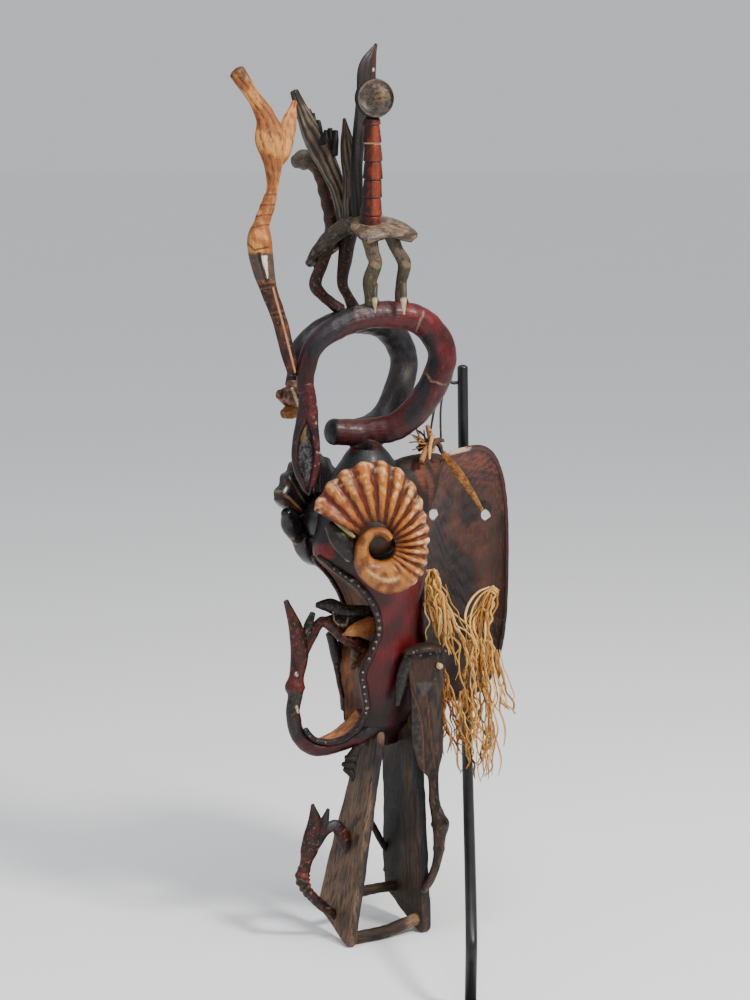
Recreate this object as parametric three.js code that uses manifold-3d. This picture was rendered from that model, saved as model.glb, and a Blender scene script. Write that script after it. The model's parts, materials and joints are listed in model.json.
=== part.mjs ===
import * as THREE from 'three';
import { mergeVertices } from 'three/addons/utils/BufferGeometryUtils.js';
import Module from 'manifold-3d';

const wasm = await Module();
wasm.setup();

// A carved hornbill mask on its stand, in millimetres. The mask looks along -X, its near side
// is -Y and its far side +Y. Up is +Z and the floor is z = 0.
const NEAR = -1;
const FAR = 1;
const FIT_GAP = 0.3;

const HEAD = { front: -76, back: 66, crown: 548, halfWidth: 55, bottom: 222 };
const JAW = { hookFront: -102, halfWidth: 26, lipSkew: 0.25 };
const HOLLOW = {
  nearRim: [41, -35],
  turn: 25,
  halfWidth: 84,
  centreHeight: 391,
  halfHeight: 139,
  depth: 27,
  wall: 7,
  eyeHoles: [-43, 59],
  eyeHeight: 70,
  eyeRadius: 4.6,
};
const EAR = {
  hub: [-25, 81, 455],
  splay: 22.4,
  shortest: 37,
  nearGrowth: 46,
  farGrowth: 38,
  ribs: 15,
  ribDepth: 2.2,
  thickness: 15,
};
const ARCH = { stubHeight: 560, stubRadius: 14, nearTop: 685, farTop: 674 };
const SADDLE = { ridge: 787, thickness: 4.5 };
const BOARD = { lean: 11.8, halfWidth: 40, frontThickness: 10, backThickness: 12.5, cornerRise: 25 };
const STAND = { rodRadius: 6, footThickness: 6, footLength: 170, footWidth: 140, sightTurn: 30 };

const SIDEWAYS = [0, 1, 0];
const UPWARD = [0, 0, 1];
const DOWNWARD = [0, 0, -1];
const FORWARD = [-1, 0, 0];
const radians = THREE.MathUtils.degToRad;

// Turns a closed triangle list into a solid, with its faces pointing out.
function solidOf(positions, triangles) {
  const a = new THREE.Vector3();
  const b = new THREE.Vector3();
  const c = new THREE.Vector3();
  let volume = 0;
  for (let i = 0; i < triangles.length; i += 3) {
    a.fromArray(positions, triangles[i] * 3);
    b.fromArray(positions, triangles[i + 1] * 3);
    c.fromArray(positions, triangles[i + 2] * 3);
    volume += a.dot(b.cross(c));
  }
  const triVerts = new Uint32Array(triangles);
  if (volume < 0) triVerts.reverse();
  const vertProperties = new Float32Array(positions);
  return new wasm.Manifold(new wasm.Mesh({ numProp: 3, vertProperties, triVerts }));
}

function solidFromGeometry(geometry) {
  geometry.deleteAttribute('normal');
  geometry.deleteAttribute('uv');
  const merged = mergeVertices(geometry, 1e-3);
  return solidOf(Array.from(merged.attributes.position.array), Array.from(merged.index.array));
}

const join = (first, ...others) => others.reduce((sum, next) => sum.add(next), first);
const cut = (first, ...others) => others.reduce((rest, next) => rest.subtract(next), first);

function shifted(solid, direction, distance) {
  const { vertProperties, triVerts } = solid.getMesh();
  const shift = direction.map((part) => part * distance);
  return solidOf(Array.from(vertProperties, (value, i) => value + shift[i % 3]), Array.from(triVerts));
}

// Cuts a piece back from a neighbour that it touches, and keeps the largest body that is left.
// Shifted copies of the neighbour leave FIT_GAP between the two. One direction does where the
// piece stands on one side of its neighbour; the four corners of a tetrahedron do all round.
const ALL_ROUND = [[1, 1, 1], [1, -1, -1], [-1, 1, -1], [-1, -1, 1]];
function fitTo(piece, neighbours, directions = ALL_ROUND) {
  const distance = directions === ALL_ROUND ? FIT_GAP * Math.sqrt(3) : FIT_GAP * 1.4;
  let rest = piece;
  for (const neighbour of neighbours) {
    for (const direction of directions) rest = rest.subtract(shifted(neighbour, direction, distance));
  }
  const bodies = rest.decompose();
  return bodies.sort((one, other) => other.volume() - one.volume())[0];
}

// A closed skin over a row of rings with equal point counts, ending in a point at each end.
function loft(rings, startPoint, endPoint) {
  const count = rings[0].length;
  const positions = [...rings.flat(), startPoint, endPoint].flat();
  const startIndex = rings.length * count;
  const endIndex = startIndex + 1;
  const last = (rings.length - 1) * count;
  const triangles = [];
  for (let j = 0; j < count; j++) {
    const next = (j + 1) % count;
    triangles.push(startIndex, next, j, endIndex, last + j, last + next);
    for (let i = 0; i < last; i += count) {
      triangles.push(i + j, i + next, i + count + next, i + j, i + count + next, i + count + j);
    }
  }
  return solidOf(positions, triangles);
}

// A carved limb: elliptical sections along a smooth path. A station is [x, y, z, half width,
// half depth]; the half width lies along `across`, and `relief` swells a section by a factor.
// The corners of a section stand a little outside its ellipse, so that its area is kept.
function limb(stations, { across = SIDEWAYS, steps = 12, sides = 8, relief = () => 1 } = {}) {
  const path = new THREE.CatmullRomCurve3(stations.map((s) => new THREE.Vector3(s[0], s[1], s[2])));
  const facets = 1 / Math.cos(Math.PI / (2 * sides));
  const girth = new THREE.CatmullRomCurve3(
    stations.map((s) => new THREE.Vector3(s[3], s[4] ?? s[3], 0)), false, 'catmullrom', 0.4,
  );
  const rings = [];
  const tips = [];
  for (let i = 0; i <= steps; i++) {
    const t = i / steps;
    const centre = path.getPoint(t);
    const size = girth.getPoint(t).multiplyScalar(facets * relief(t));
    const along = path.getTangent(t);
    const wide = new THREE.Vector3(...across);
    wide.addScaledVector(along, -wide.dot(along)).normalize();
    const deep = new THREE.Vector3().crossVectors(along, wide);
    const ring = [];
    for (let j = 0; j < sides; j++) {
      const angle = (2 * Math.PI * j) / sides;
      const point = centre.clone().addScaledVector(wide, size.x * Math.cos(angle));
      ring.push(point.addScaledVector(deep, size.y * Math.sin(angle)).toArray());
    }
    rings.push(ring);
    const bulge = 0.45 * Math.min(size.x, size.y);
    if (i === 0) tips.push(centre.clone().addScaledVector(along, -bulge).toArray());
    if (i === steps) tips.push(centre.clone().addScaledVector(along, bulge).toArray());
  }
  return loft(rings, tips[0], tips[1]);
}

// A thin curved plate between two grids of points, front and back, closed around its edge.
function plate(rows, columns, frontPoint, backPoint) {
  const positions = [];
  for (const face of [frontPoint, backPoint]) {
    for (let i = 0; i <= rows; i++) {
      for (let j = 0; j <= columns; j++) positions.push(...face(i / rows, j / columns));
    }
  }
  const back = (rows + 1) * (columns + 1);
  const at = (i, j) => i * (columns + 1) + j;
  const triangles = [];
  const quad = (a, b, c, d) => triangles.push(a, b, c, a, c, d);
  for (let i = 0; i < rows; i++) {
    for (let j = 0; j < columns; j++) {
      quad(at(i, j), at(i + 1, j), at(i + 1, j + 1), at(i, j + 1));
      quad(back + at(i, j), back + at(i, j + 1), back + at(i + 1, j + 1), back + at(i + 1, j));
    }
    quad(at(i, 0), back + at(i, 0), back + at(i + 1, 0), at(i + 1, 0));
    const end = columns;
    quad(at(i, end), at(i + 1, end), back + at(i + 1, end), back + at(i, end));
  }
  for (let j = 0; j < columns; j++) {
    quad(at(0, j), at(0, j + 1), back + at(0, j + 1), back + at(0, j));
    quad(at(rows, j), back + at(rows, j), back + at(rows, j + 1), at(rows, j + 1));
  }
  return solidOf(positions, triangles);
}

// An outline in the XZ plane, given as [x, z] points and thickened evenly about y = 0. With a
// skew, its far side stands further forward than its near side.
function profile(outline, thickness, skew = 0) {
  const shape = new THREE.Shape(outline.map(([x, z]) => new THREE.Vector2(x, z)));
  const geometry = new THREE.ExtrudeGeometry(shape, { depth: thickness, bevelEnabled: false });
  geometry.rotateX(Math.PI / 2);
  geometry.translate(0, thickness / 2, 0);
  geometry.applyMatrix4(new THREE.Matrix4().makeShear(0, 0, -skew, 0, 0, 0));
  return solidFromGeometry(geometry);
}

// The front edge of the cheeks, from the upper lip down to the chin, as [x, z].
const LIP_LINE = [
  [HEAD.front - 14, 432], [-62, 413], [-46, 400], [-28, 378], [-16, 353],
  [-19, 331], [-31, 309], [-36, 289], [-31, 268], [-38, 246],
];

// The dome of the head runs down into the cheeks and the rounded underside of the jaw.
function headBlock() {
  const middle = (HEAD.front + HEAD.back) / 2;
  return limb([
    [-11, 0, HEAD.crown, 11, 13],
    [-10, 0, 531, 22, 27],
    [-9, 0, 516, 31, 38],
    [-6, 0, 492, 44, 54],
    [middle + 1, 0, 465, 50, 61],
    [middle + 2, 0, 430, HEAD.halfWidth - 1, 68],
    [2, 0, 398, 48, 62],
    [3, 0, 353, 41, 53],
    [1, 0, 309, 39, 54],
    [1, 0, 266, 35, 51],
    [3, 0, 240, 28, 43],
    [6, 0, HEAD.bottom, 13, 22],
  ], { steps: 12, sides: 12 });
}

// What is carved away in front of the lip line, and the shallow groove inside the lips.
// The lip line is that of the near lip; the far lip stands further forward.
function mouthOpening() {
  const front = HEAD.front - 60;
  const outline = [[front, 432], ...LIP_LINE, [-40, 200], [front, 200]];
  const shift = JAW.lipSkew * JAW.halfWidth;
  return profile(outline.map(([x, z]) => [x - shift, z]), 160, JAW.lipSkew);
}

function mouthLining() {
  const shift = 4 + JAW.lipSkew * JAW.halfWidth;
  const stations = LIP_LINE.slice(1).map(([x, z]) => [x - shift, 0, z, 21, 9]);
  return limb(stations, { across: [-JAW.lipSkew, 1, 0], steps: 7, sides: 6 });
}

// The chin runs forward as a hook, turns up as a neck and ends as a bird's head and bill.
function jawBird() {
  const neck = JAW.hookFront;
  const hook = limb([
    [12, 0, 252, JAW.halfWidth, 20],
    [-20, 0, 233, 24, 15],
    [-50, 0, 222, 19, 11.5],
    [-76, 0, 220, 13, 10.5],
    [-95, 0, 235, 8.5, 8.5],
    [neck, 0, 260, 7, 7.5],
    [-99, 0, 279, 7.5, 8.5],
    [-99, 0, 288, 9.5, 10.5],
    [-97, 0, 300, 7.5, 8.5],
    [-93, 0, 325, 7.5, 10.5],
    [-98, 0, 352, 5.5, 8],
    [-109, 0, 383, 2, 3],
  ], { steps: 16, sides: 6 });
  const lowerBill = limb([
    [-92, 0, 315, 5, 5],
    [-81, 0, 337, 5, 6],
    [-66, 0, 356, 5, 6],
    [-51, 0, 347, 5, 6.5],
    [-36, 0, 335, 6, 7.5],
    [-12, 0, 322, 7, 8],
  ], { steps: 7, sides: 6 });
  const crest = limb([[-84, 0, 336, 3, 3], [-83, 0, 352, 4, 5], [-77, 0, 366, 4, 3]], { steps: 2, sides: 5 });
  return join(hook, lowerBill, crest);
}

// Tongue, tooth and leaf that stand forward out of the mouth lining.
function mouthCarving() {
  const tooth = limb([[-47, -12, 342, 1, 1], [-34, -12, 345, 5, 7], [-12, -10, 348, 9, 10]], { steps: 2, sides: 6 });
  const leaf = limb([[-68, 8, 373, 2, 3], [-52, 7, 371, 5, 8], [-35, 5, 363, 7, 8], [-8, 0, 360, 8, 8]], {
    steps: 3,
    sides: 6,
  });
  const knob = limb([[-60, 6, 354, 6, 6], [-46, 5, 351, 9, 11], [-20, 2, 348, 9, 12]], { steps: 2, sides: 6 });
  const tongue = limb([[-38, 12, 337, 5, 7], [-44, 12, 322, 6, 9], [-36, 4, 306, 9, 9]], { steps: 2, sides: 6 });
  return join(tooth, leaf, knob, tongue);
}

// Places a point of the hollow: `s` across the opening from its middle, `z` above its middle
// and `depth` away from the opening plane.
const openingTurn = radians(HOLLOW.turn);
const openingAcross = [Math.cos(openingTurn), Math.sin(openingTurn)];
const openingInward = [-Math.sin(openingTurn), Math.cos(openingTurn)];
function hollowPoint(s, z, depth) {
  const along = s + HOLLOW.halfWidth;
  return [
    HOLLOW.nearRim[0] + openingAcross[0] * along + openingInward[0] * depth,
    HOLLOW.nearRim[1] + openingAcross[1] * along + openingInward[1] * depth,
    HOLLOW.centreHeight + z,
  ];
}

// A rounded tray shape: a squarish oval rim that closes to a low dome, deeper towards the chin.
function tray(halfWidth, halfHeight, depth, lead) {
  const corner = 2 / 2.9;
  const sides = 24;
  const oval = (scale, height) => Array.from({ length: sides }, (_, j) => {
    const angle = (2 * Math.PI * (j + 0.5)) / sides;
    const s = Math.sign(Math.cos(angle)) * Math.abs(Math.cos(angle)) ** corner * halfWidth * scale;
    const z = Math.sign(Math.sin(angle)) * Math.abs(Math.sin(angle)) ** corner * halfHeight * scale;
    return hollowPoint(s, z, height > 0 ? height * (1 - (0.3 * z) / halfHeight) : height);
  });
  const rings = [oval(1, lead)];
  const layers = 3;
  for (let k = lead < 0 ? 0 : 1; k < layers; k++) {
    const turn = (Math.PI / 2) * (k / layers);
    rings.push(oval(Math.cos(turn) ** 0.55, depth * Math.sin(turn) ** 1.3));
  }
  return loft(rings, hollowPoint(0, 0, lead), hollowPoint(0, 0, depth));
}

function eyeHole(s) {
  const rings = [0, HOLLOW.depth * 3].map((depth) => Array.from({ length: 8 }, (_, j) => {
    const angle = (2 * Math.PI * j) / 8;
    const z = HOLLOW.eyeHeight + HOLLOW.eyeRadius * Math.sin(angle);
    return hollowPoint(s + HOLLOW.eyeRadius * Math.cos(angle), z, depth);
  }));
  const ends = [0, HOLLOW.depth * 3].map((depth) => hollowPoint(s, HOLLOW.eyeHeight, depth));
  return loft(rings, ends[0], ends[1]);
}

// The cheek that joins the back of the head to the top of the hollow.
function cheek() {
  return limb([[0, 2, 486, 40, 32], [44, -10, 490, 28, 40], [74, 0, 488, 24, 40], [100, 14, 480, 14, 34]], {
    steps: 4,
    sides: 10,
  });
}

function maskHead() {
  const { halfWidth, halfHeight, depth, wall } = HOLLOW;
  const outside = tray(halfWidth + 3.5, halfHeight + 3.5, depth + wall, 0);
  const inside = tray(halfWidth, halfHeight, depth, -70);
  const carved = cut(headBlock(), mouthOpening(), mouthLining());
  const solid = join(carved, cheek(), jawBird(), mouthCarving());
  return cut(join(solid, outside), inside, ...HOLLOW.eyeHoles.map(eyeHole));
}

// An ear lies in a plane of its own: `a` runs back along the ear, `b` up and `c` out of it.
function earPoint(side, a, b, c) {
  const splay = radians(EAR.splay);
  const [x, y, z] = EAR.hub;
  const out = y + a * Math.sin(splay) + c * Math.cos(splay);
  return [x + a * Math.cos(splay) - c * Math.sin(splay), side * out, z + b];
}

// The fan: ribs spread from the hub, short at the back and long at the front.
function earFan(side) {
  const first = radians(-20);
  const last = radians(176);
  const growth = side === NEAR ? EAR.nearGrowth : EAR.farGrowth;
  const reach = (angle) => EAR.shortest + growth * Math.min(1, (angle - first) / radians(128)) ** 1.7;
  const arc = (share, out, relief) => {
    const points = Array.from({ length: EAR.ribs * 2 + 1 }, (_, i) => {
      const angle = first + ((last - first) * i) / (EAR.ribs * 2);
      const crest = i % 2 ? -1 : 1;
      const radius = reach(angle) * share * (1 + 0.012 * share * crest);
      return earPoint(side, radius * Math.cos(angle), radius * Math.sin(angle), out + crest * relief);
    });
    return [...points, earPoint(side, -1, -4, out)];
  };
  const rings = [arc(0.55, 5, EAR.ribDepth / 2), arc(1, -6, EAR.ribDepth), arc(1, 5 - EAR.thickness, 0)];
  return loft(rings, earPoint(side, 0, 0, 8), earPoint(side, 0, 0, -EAR.thickness));
}

// The curl: a smooth band that winds outwards around the ear hole.
function earCurl(side) {
  const turns = [
    [62, 14, 3], [110, 18, 6], [177, 21, 9], [230, 27, 11],
    [281, 32, 12], [330, 34, 11], [365, 36, 10], [396, 42, 7],
  ];
  const stations = turns.map(([angle, radius, half]) => {
    const a = -8 + radius * Math.cos(radians(angle));
    const b = -16 + radius * Math.sin(radians(angle));
    return [...earPoint(side, a, b, 1), half, half * 0.9 + 2];
  });
  const origin = earPoint(side, 0, 0, 0);
  const outward = earPoint(side, 0, 0, 1).map((value, k) => value - origin[k]);
  const swapped = stations.map(([x, y, z, half, deep]) => [x, y, z, deep, half]);
  return limb(swapped, { across: outward, steps: 11, sides: 5 });
}

// The root that joins the ear to the head, with the swelling of the eye in front of it.
function earRoot(side) {
  const root = limb([
    [...earPoint(side, -20, 10, -13), 29, 32],
    [...earPoint(side, -22, 6, -30), 27, 30],
    [...earPoint(side, -20, 4, -52), 20, 24],
  ], { across: UPWARD, steps: 2 });
  const eye = limb([
    [...earPoint(side, -66, 12, -8), 6, 6],
    [...earPoint(side, -54, -4, -6), 9, 11],
    [...earPoint(side, -40, -22, -6), 7, 9],
  ], { steps: 2, sides: 6 });
  return join(root, eye);
}

function ear(side) {
  return join(earFan(side), earRoot(side), earCurl(side));
}

// One of the two snakes of the arch: out of the stub, back, up, over and down to its head.
// The far one stands a little lower, and its front is set back by `setBack`.
function snakeRing(side, top, setBack) {
  const drop = ARCH.nearTop - top;
  return limb([
    [-51, 0, ARCH.stubHeight, 13.5, ARCH.stubRadius],
    [-16, side * 5, 558, 14, 14.5],
    [19, side * 19, 566, 14.5, 15.5],
    [48, side * 33, 601 - drop / 2, 15, 16],
    [59, side * 40, 643 - drop, 14.5, 15.5],
    [35, side * 37, 676 - drop, 14.5, 15],
    [-14, side * 31, top, 13.5, 14],
    [-59 + setBack / 2, side * 27, 674 - drop, 12, 12.5],
    [-88 + setBack, side * 25, 654 - drop, 10.5, 10.5],
    [-98 + setBack * 2, side * 26, 628 - drop / 2, 9, 9.5],
    [-100 + setBack * 2, side * 28, 609, 8.5, 9],
  ], { steps: 16 });
}

// The near snake's open mouth: a long red upper jaw and a shorter lower one.
function nearSnakeHead() {
  const upper = limb([
    [-99, -28, 615, 8.5, 8.5],
    [-95, -29, 590, 9.5, 11],
    [-94, -30, 556, 8, 10],
    [-94, -30, 526, 5.5, 7],
    [-98, -30, 502, 1.5, 1.5],
  ], { steps: 5, sides: 6 });
  const lower = limb([
    [-100, -28, 600, 6, 7],
    [-106, -30, 576, 7, 7],
    [-113, -30, 552, 6, 5.5],
    [-116, -30, 534, 4.5, 4],
    [-111, -30, 521, 1.5, 1.5],
  ], { steps: 4, sides: 6 });
  const throat = limb([[-102, -30, 596, 5, 7], [-104, -30, 560, 4, 9], [-103, -30, 522, 3, 6]], {
    steps: 2,
    sides: 5,
  });
  return join(upper, lower, throat);
}

// The far snake ends in a clawed fist, and a knuckle above it grips the bill of the pale bird.
function farSnakeClaw() {
  const lean = { steps: 2, sides: 6 };
  const knuckle = limb([[-101, -6, 622, 6, 6], [-97, 4, 614, 8, 7], [-92, 14, 604, 8, 8]], lean);
  const wrist = limb([[-84, 28, 614, 8, 8], [-86, 22, 604, 9, 9], [-88, 16, 597, 9, 10]], lean);
  const claw = limb([[-110, 8, 602, 3, 4], [-98, 13, 599, 8, 10], [-80, 16, 596, 7, 8]], lean);
  const thumb = limb([[-106, 8, 581, 3, 4], [-95, 12, 584, 7, 8], [-84, 16, 594, 7, 8]], lean);
  return join(knuckle, wrist, claw, thumb);
}

function snakeArch() {
  const collar = limb([[-11, 0, 541, 17, 17], [-11, 0, 548, 19, 20], [-8, 0, 558, 15, 19]], {
    steps: 2,
    sides: 10,
  });
  const near = snakeRing(NEAR, ARCH.nearTop, 0);
  const far = snakeRing(FAR, ARCH.farTop, 8);
  return join(near, far, collar, nearSnakeHead(), farSnakeClaw());
}

// The shared saddle: a wing-like sheet that arches over both figures.
function saddle() {
  const spine = new THREE.CatmullRomCurve3([
    [-50, 768], [-42, 775], [-22, 783], [2, SADDLE.ridge], [25, 781], [46, 761], [67, 731],
  ].map(([y, z]) => new THREE.Vector3(0, y, z)));
  const edges = new THREE.CatmullRomCurve3([
    [-38, 15], [-45, 27], [-42, 27], [-29, 11], [-33, 1], [-43, -13], [-52, -37],
  ].map(([front, back]) => new THREE.Vector3(front, back, 0)));
  const point = (i, j, lift) => {
    const at = spine.getPoint(i);
    const edge = edges.getPoint(i);
    const sag = 1.5 - 3 * Math.abs(2 * j - 1);
    return [edge.x + (edge.y - edge.x) * j, at.y, at.z + sag + lift];
  };
  const top = (i, j) => point(i, j, 0);
  const underside = (i, j) => point(i, j, -SADDLE.thickness);
  return plate(9, 2, top, underside);
}

function figureLegs() {
  const nearFront = [
    [-28, -34, 774, 7, 10], [-24, -36, 750, 6, 7.5], [-21, -37, 740, 6, 7.5],
    [-27, -36, 722, 6, 8], [-26, -35, 706, 5.5, 7], [-24, -35, 697, 6.5, 8.5],
  ];
  const nearBack = [
    [-3, -34, 774, 7, 9], [6, -36, 752, 6, 7], [14, -37, 738, 6, 7.5],
    [11, -36, 720, 5, 6], [10, -35, 706, 5, 6], [12, -35, 696, 6, 8],
  ];
  const farFront = [
    [-32, 36, 768, 6, 9], [-44, 35, 738, 6, 6.5], [-54, 33, 713, 6, 7],
    [-46, 31, 702, 5, 6], [-36, 30, 694, 5, 6], [-26, 30, 687, 6, 7],
  ];
  const farBack = [
    [-12, 32, 775, 7, 10], [-19, 32, 738, 6, 8], [-22, 31, 713, 5, 6],
    [-16, 31, 701, 5, 5.5], [-9, 31, 688, 6, 7],
  ];
  return [nearFront, nearBack, farFront, farBack].map((leg) => limb(leg, { steps: 5, sides: 6 }));
}

// Columns with ring joints, the near one with a round face that is turned to the side.
function figureNecks() {
  const joints = (t) => 1 + 0.1 * Math.sign(((t * 5 + 0.25) % 1) - 0.5);
  const nearNeck = limb([
    [-22, -28, 780, 13, 12.5], [-23, -33, 820, 11, 11.5], [-25, -38, 855, 10.5, 11], [-29, -42, 897, 10, 10],
  ], { steps: 10, relief: joints, sides: 6 });
  const face = limb([
    [-22, -36, 908, 16, 16], [-24, -39, 908, 20, 20], [-29, -49, 908, 20, 20], [-30, -51, 908, 18, 18],
  ], { across: UPWARD, steps: 3, sides: 10 });
  const farNeck = limb([
    [-26, 44, 754, 9, 9], [-25, 50, 780, 8, 8], [-30, 54, 808, 7, 7], [-35, 56, 830, 7, 8],
    [-44, 57, 843, 8, 9], [-55, 58, 845, 10, 11], [-65, 58, 843, 6, 7],
  ], { steps: 7, sides: 6 });
  return [nearNeck, face, farNeck];
}

// Upright leaves and the forked black plume that leans forward to the pale bird.
function figureLeaves() {
  const tallLeaf = limb([
    [-19, 2, 780, 6, 6], [-21, 1, 845, 5, 6], [-15, 3, 886, 5, 8], [-9, 5, 912, 5, 11],
    [-7, 5, 941, 4, 10], [4, 5, 965, 1, 1],
  ], { steps: 6, sides: 6 });
  const middleLeaf = limb([
    [-19, 20, 780, 6, 8], [-19, 20, 824, 5, 8], [-22, 20, 858, 4, 8.5], [-26, 20, 888, 1, 1],
  ], { steps: 4, sides: 5 });
  const plume = limb([
    [-18, 30, 778, 7, 8], [-26, 30, 816, 7, 9], [-38, 29, 843, 7, 14], [-54, 26, 867, 7, 17],
    [-69, 22, 890, 6, 12], [-83, 17, 913, 2, 4],
  ], { steps: 7, sides: 6 });
  const tufts = [[-57, 26, 889, 7, 10], [-39, 28, 870, 6, 9]].map(([x, y, z, wide, deep]) => limb([
    [x - 8, y, z + 5, 2, 3], [x, y, z, wide, deep], [x + 12, y, z - 10, wide, deep],
  ], { steps: 2, sides: 5 }));
  return [tallLeaf, middleLeaf, plume, ...tufts];
}

function twinFigures() {
  return join(saddle(), ...figureLegs(), ...figureNecks(), ...figureLeaves());
}

// The pale bird hangs head down: tail, wings, ringed neck, head and a long closed bill.
function paleBird() {
  const rings = (t) => (t > 0.44 && t < 0.58 ? 1 + 0.1 * Math.cos(t * 180) : 1);
  const body = limb([
    [-165, -8, 933, 6.5, 9], [-147, -8, 909, 5.5, 7.5], [-134, -9, 889, 7, 11], [-129, -10, 866, 9, 17],
    [-126, -10, 840, 8, 10], [-127, -10, 818, 6, 6], [-132, -10, 800, 7, 7.5], [-139, -10, 783, 8, 8.5],
    [-143, -11, 765, 12, 13], [-141, -12, 744, 11, 12.5], [-134, -14, 714, 8, 9],
    [-123, -16, 683, 6.5, 8], [-115, -17, 651, 6, 7.5], [-108, -18, 627, 5.5, 6.5],
  ], { steps: 22, relief: rings });
  const wing = limb([
    [-126, -9, 838, 3, 6], [-113, -4, 856, 4, 11], [-100, 4, 882, 4, 8.5], [-89, 12, 905, 1.5, 2],
  ], { steps: 5, sides: 6 });
  return join(body, wing);
}

// A board in the YZ plane that leans forward or back; its far lower corner is cut up at a slant.
function board(outline, thickness, lean, foot) {
  const shape = new THREE.Shape(outline.map(([y, z]) => new THREE.Vector2(y, z)));
  const geometry = new THREE.ExtrudeGeometry(shape, { depth: thickness, bevelEnabled: false });
  geometry.rotateX(Math.PI / 2);
  geometry.rotateZ(Math.PI / 2);
  geometry.rotateY(radians(lean));
  geometry.translate(foot, 0, 0);
  geometry.computeBoundingBox();
  geometry.translate(0, 0, -geometry.boundingBox.min.z);
  return solidFromGeometry(geometry);
}

function frontBoard() {
  const { halfWidth, lean, frontThickness, cornerRise } = BOARD;
  return board([
    [-halfWidth, 0], [-halfWidth + 8, 0.5], [halfWidth, cornerRise], [34, 80], [14, 238], [-22, 238],
  ], frontThickness, lean, -57);
}

function backBoard() {
  const { halfWidth, backThickness, cornerRise } = BOARD;
  return board([
    [-halfWidth, 0], [-halfWidth + 16, 1], [halfWidth + 4, cornerRise + 5], [halfWidth + 8, 70],
    [halfWidth + 2, 215], [20, 262], [-22, 262], [-halfWidth + 4, 215],
  ], backThickness, -2.5, 37);
}

// A dark knot at the top of the front board, on its near edge.
function boardKnot() {
  return limb([[-34, -19, 216, 6, 6], [-43, -20, 203, 7.5, 7.5], [-44, -20, 189, 5, 5]], { steps: 2, sides: 6 });
}

function bar(stations) {
  return limb(stations, { steps: 3, sides: 6 });
}

// The small bird on the front board: a bent neck, a knobbed throat and two open bills.
function boardBird() {
  const neck = limb([
    [-46, 0, 22, 4, 5.5], [-66, 0, 38, 4.5, 5.5], [-86, 0, 60, 5, 6], [-91, 0, 75, 6.5, 8],
    [-87, 0, 90, 5, 7], [-81, 0, 110, 6, 11], [-76, 0, 133, 5, 9], [-78, 0, 155, 1.5, 2],
  ], { steps: 12, sides: 6 });
  const lowerBill = limb([[-72, 0, 116, 5, 7], [-65, 0, 131, 4.5, 6], [-59, 0, 147, 1.5, 2]], {
    steps: 3,
    sides: 6,
  });
  const arm = limb([
    [-76, 0, 108, 5, 6], [-62, 0, 124, 5, 6], [-50, 0, 127, 5, 7], [-40, 0, 112, 6, 8], [-28, 0, 90, 6, 7],
  ], { steps: 5, sides: 6 });
  return join(neck, lowerBill, arm);
}

// A drooping leaf on the side of the jaw: a three-cornered cap, a long ribbed body and a thin
// jointed limb that curves in to the back board.
function sideOrnament(side) {
  const body = limb([
    [33, side * 47, 322, 7, 25], [35, side * 49, 300, 9, 23], [35, side * 50, 268, 9, 20],
    [36, side * 50, 232, 8, 20], [40, side * 50, 200, 6.5, 16], [44, side * 50, 180, 5, 6],
    [47, side * 50, 150, 6, 6.5], [50, side * 50, 130, 8, 11], [51, side * 50, 111, 5.5, 6],
    [50, side * 48, 84, 5, 5.5], [45, side * 44, 64, 5, 5], [38, side * 40, 50, 5, 5],
  ], { steps: 12, sides: 6 });
  const flap = limb([
    [15, side * 46, 318, 6, 6], [7, side * 46, 296, 5, 7], [0, side * 47, 266, 2, 3],
  ], { steps: 2, sides: 6 });
  const cap = limb([
    [9, side * 48, 323, 6, 3], [33, side * 52, 327, 13, 5], [56, side * 48, 323, 6, 3],
  ], { steps: 3, sides: 6 });
  const root = limb([[26, side * 26, 292, 14, 16], [33, side * 48, 296, 12, 14]], { across: UPWARD, steps: 1 });
  return join(body, flap, cap, root);
}

function sidePeg() {
  return limb([[46, -50, 306, 3, 3], [46, -60, 306, 3.4, 3.4], [46, -62, 306, 2.6, 2.6]], {
    across: UPWARD,
    steps: 2,
    sides: 8,
  });
}

// The tan strap that hangs across the hollow from the tie on its top edge to the far eye hole.
function strap() {
  return limb([[87, -15, 520, 4.5, 2.5], [104, -5, 503, 4, 2.5], [138, 16, 473, 4, 2.5], [153, 26, 461, 4, 3]], {
    steps: 4,
    sides: 4,
  });
}

// The knotted fibre tie on the top edge of the hollow.
function topTie() {
  const strands = [
    [[34, -40, 528, 5, 5], [50, -30, 543, 7, 6], [66, -22, 540, 5, 5], [82, -20, 528, 3, 3]],
    [[44, -18, 536, 4, 4], [56, -28, 548, 6, 6], [66, -34, 542, 5, 5], [76, -36, 530, 2, 2]],
    [[50, -34, 538, 5, 5], [54, -27, 553, 4, 4], [52, -22, 562, 3, 3]],
  ];
  return join(...strands.map((stations) => limb(stations, { steps: 2, sides: 4 })));
}

// One leg of the wire that loops over the hook and runs down to the tie.
function wire(end) {
  const middle = [(HOOK_TIP[0] + end[0]) / 2 - 3, (HOOK_TIP[1] + end[1]) / 2, (HOOK_TIP[2] + end[2]) / 2];
  const stations = [[...HOOK_TIP, 1, 1], [...middle, 1, 1], [...end, 1, 1]];
  return limb(stations, { steps: 3, sides: 4 });
}

// Raffia hangs in two bundles, one from the near rim and one from a knot inside the hollow.
function nearRaffia() {
  return limb([
    [34, -44, 405, 4, 5], [46, -40, 366, 5, 9], [60, -38, 322, 5, 13], [70, -38, 275, 6, 14],
    [76, -38, 241, 6, 15], [81, -40, 186, 5, 13],
  ], { steps: 6, sides: 6 });
}

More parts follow.
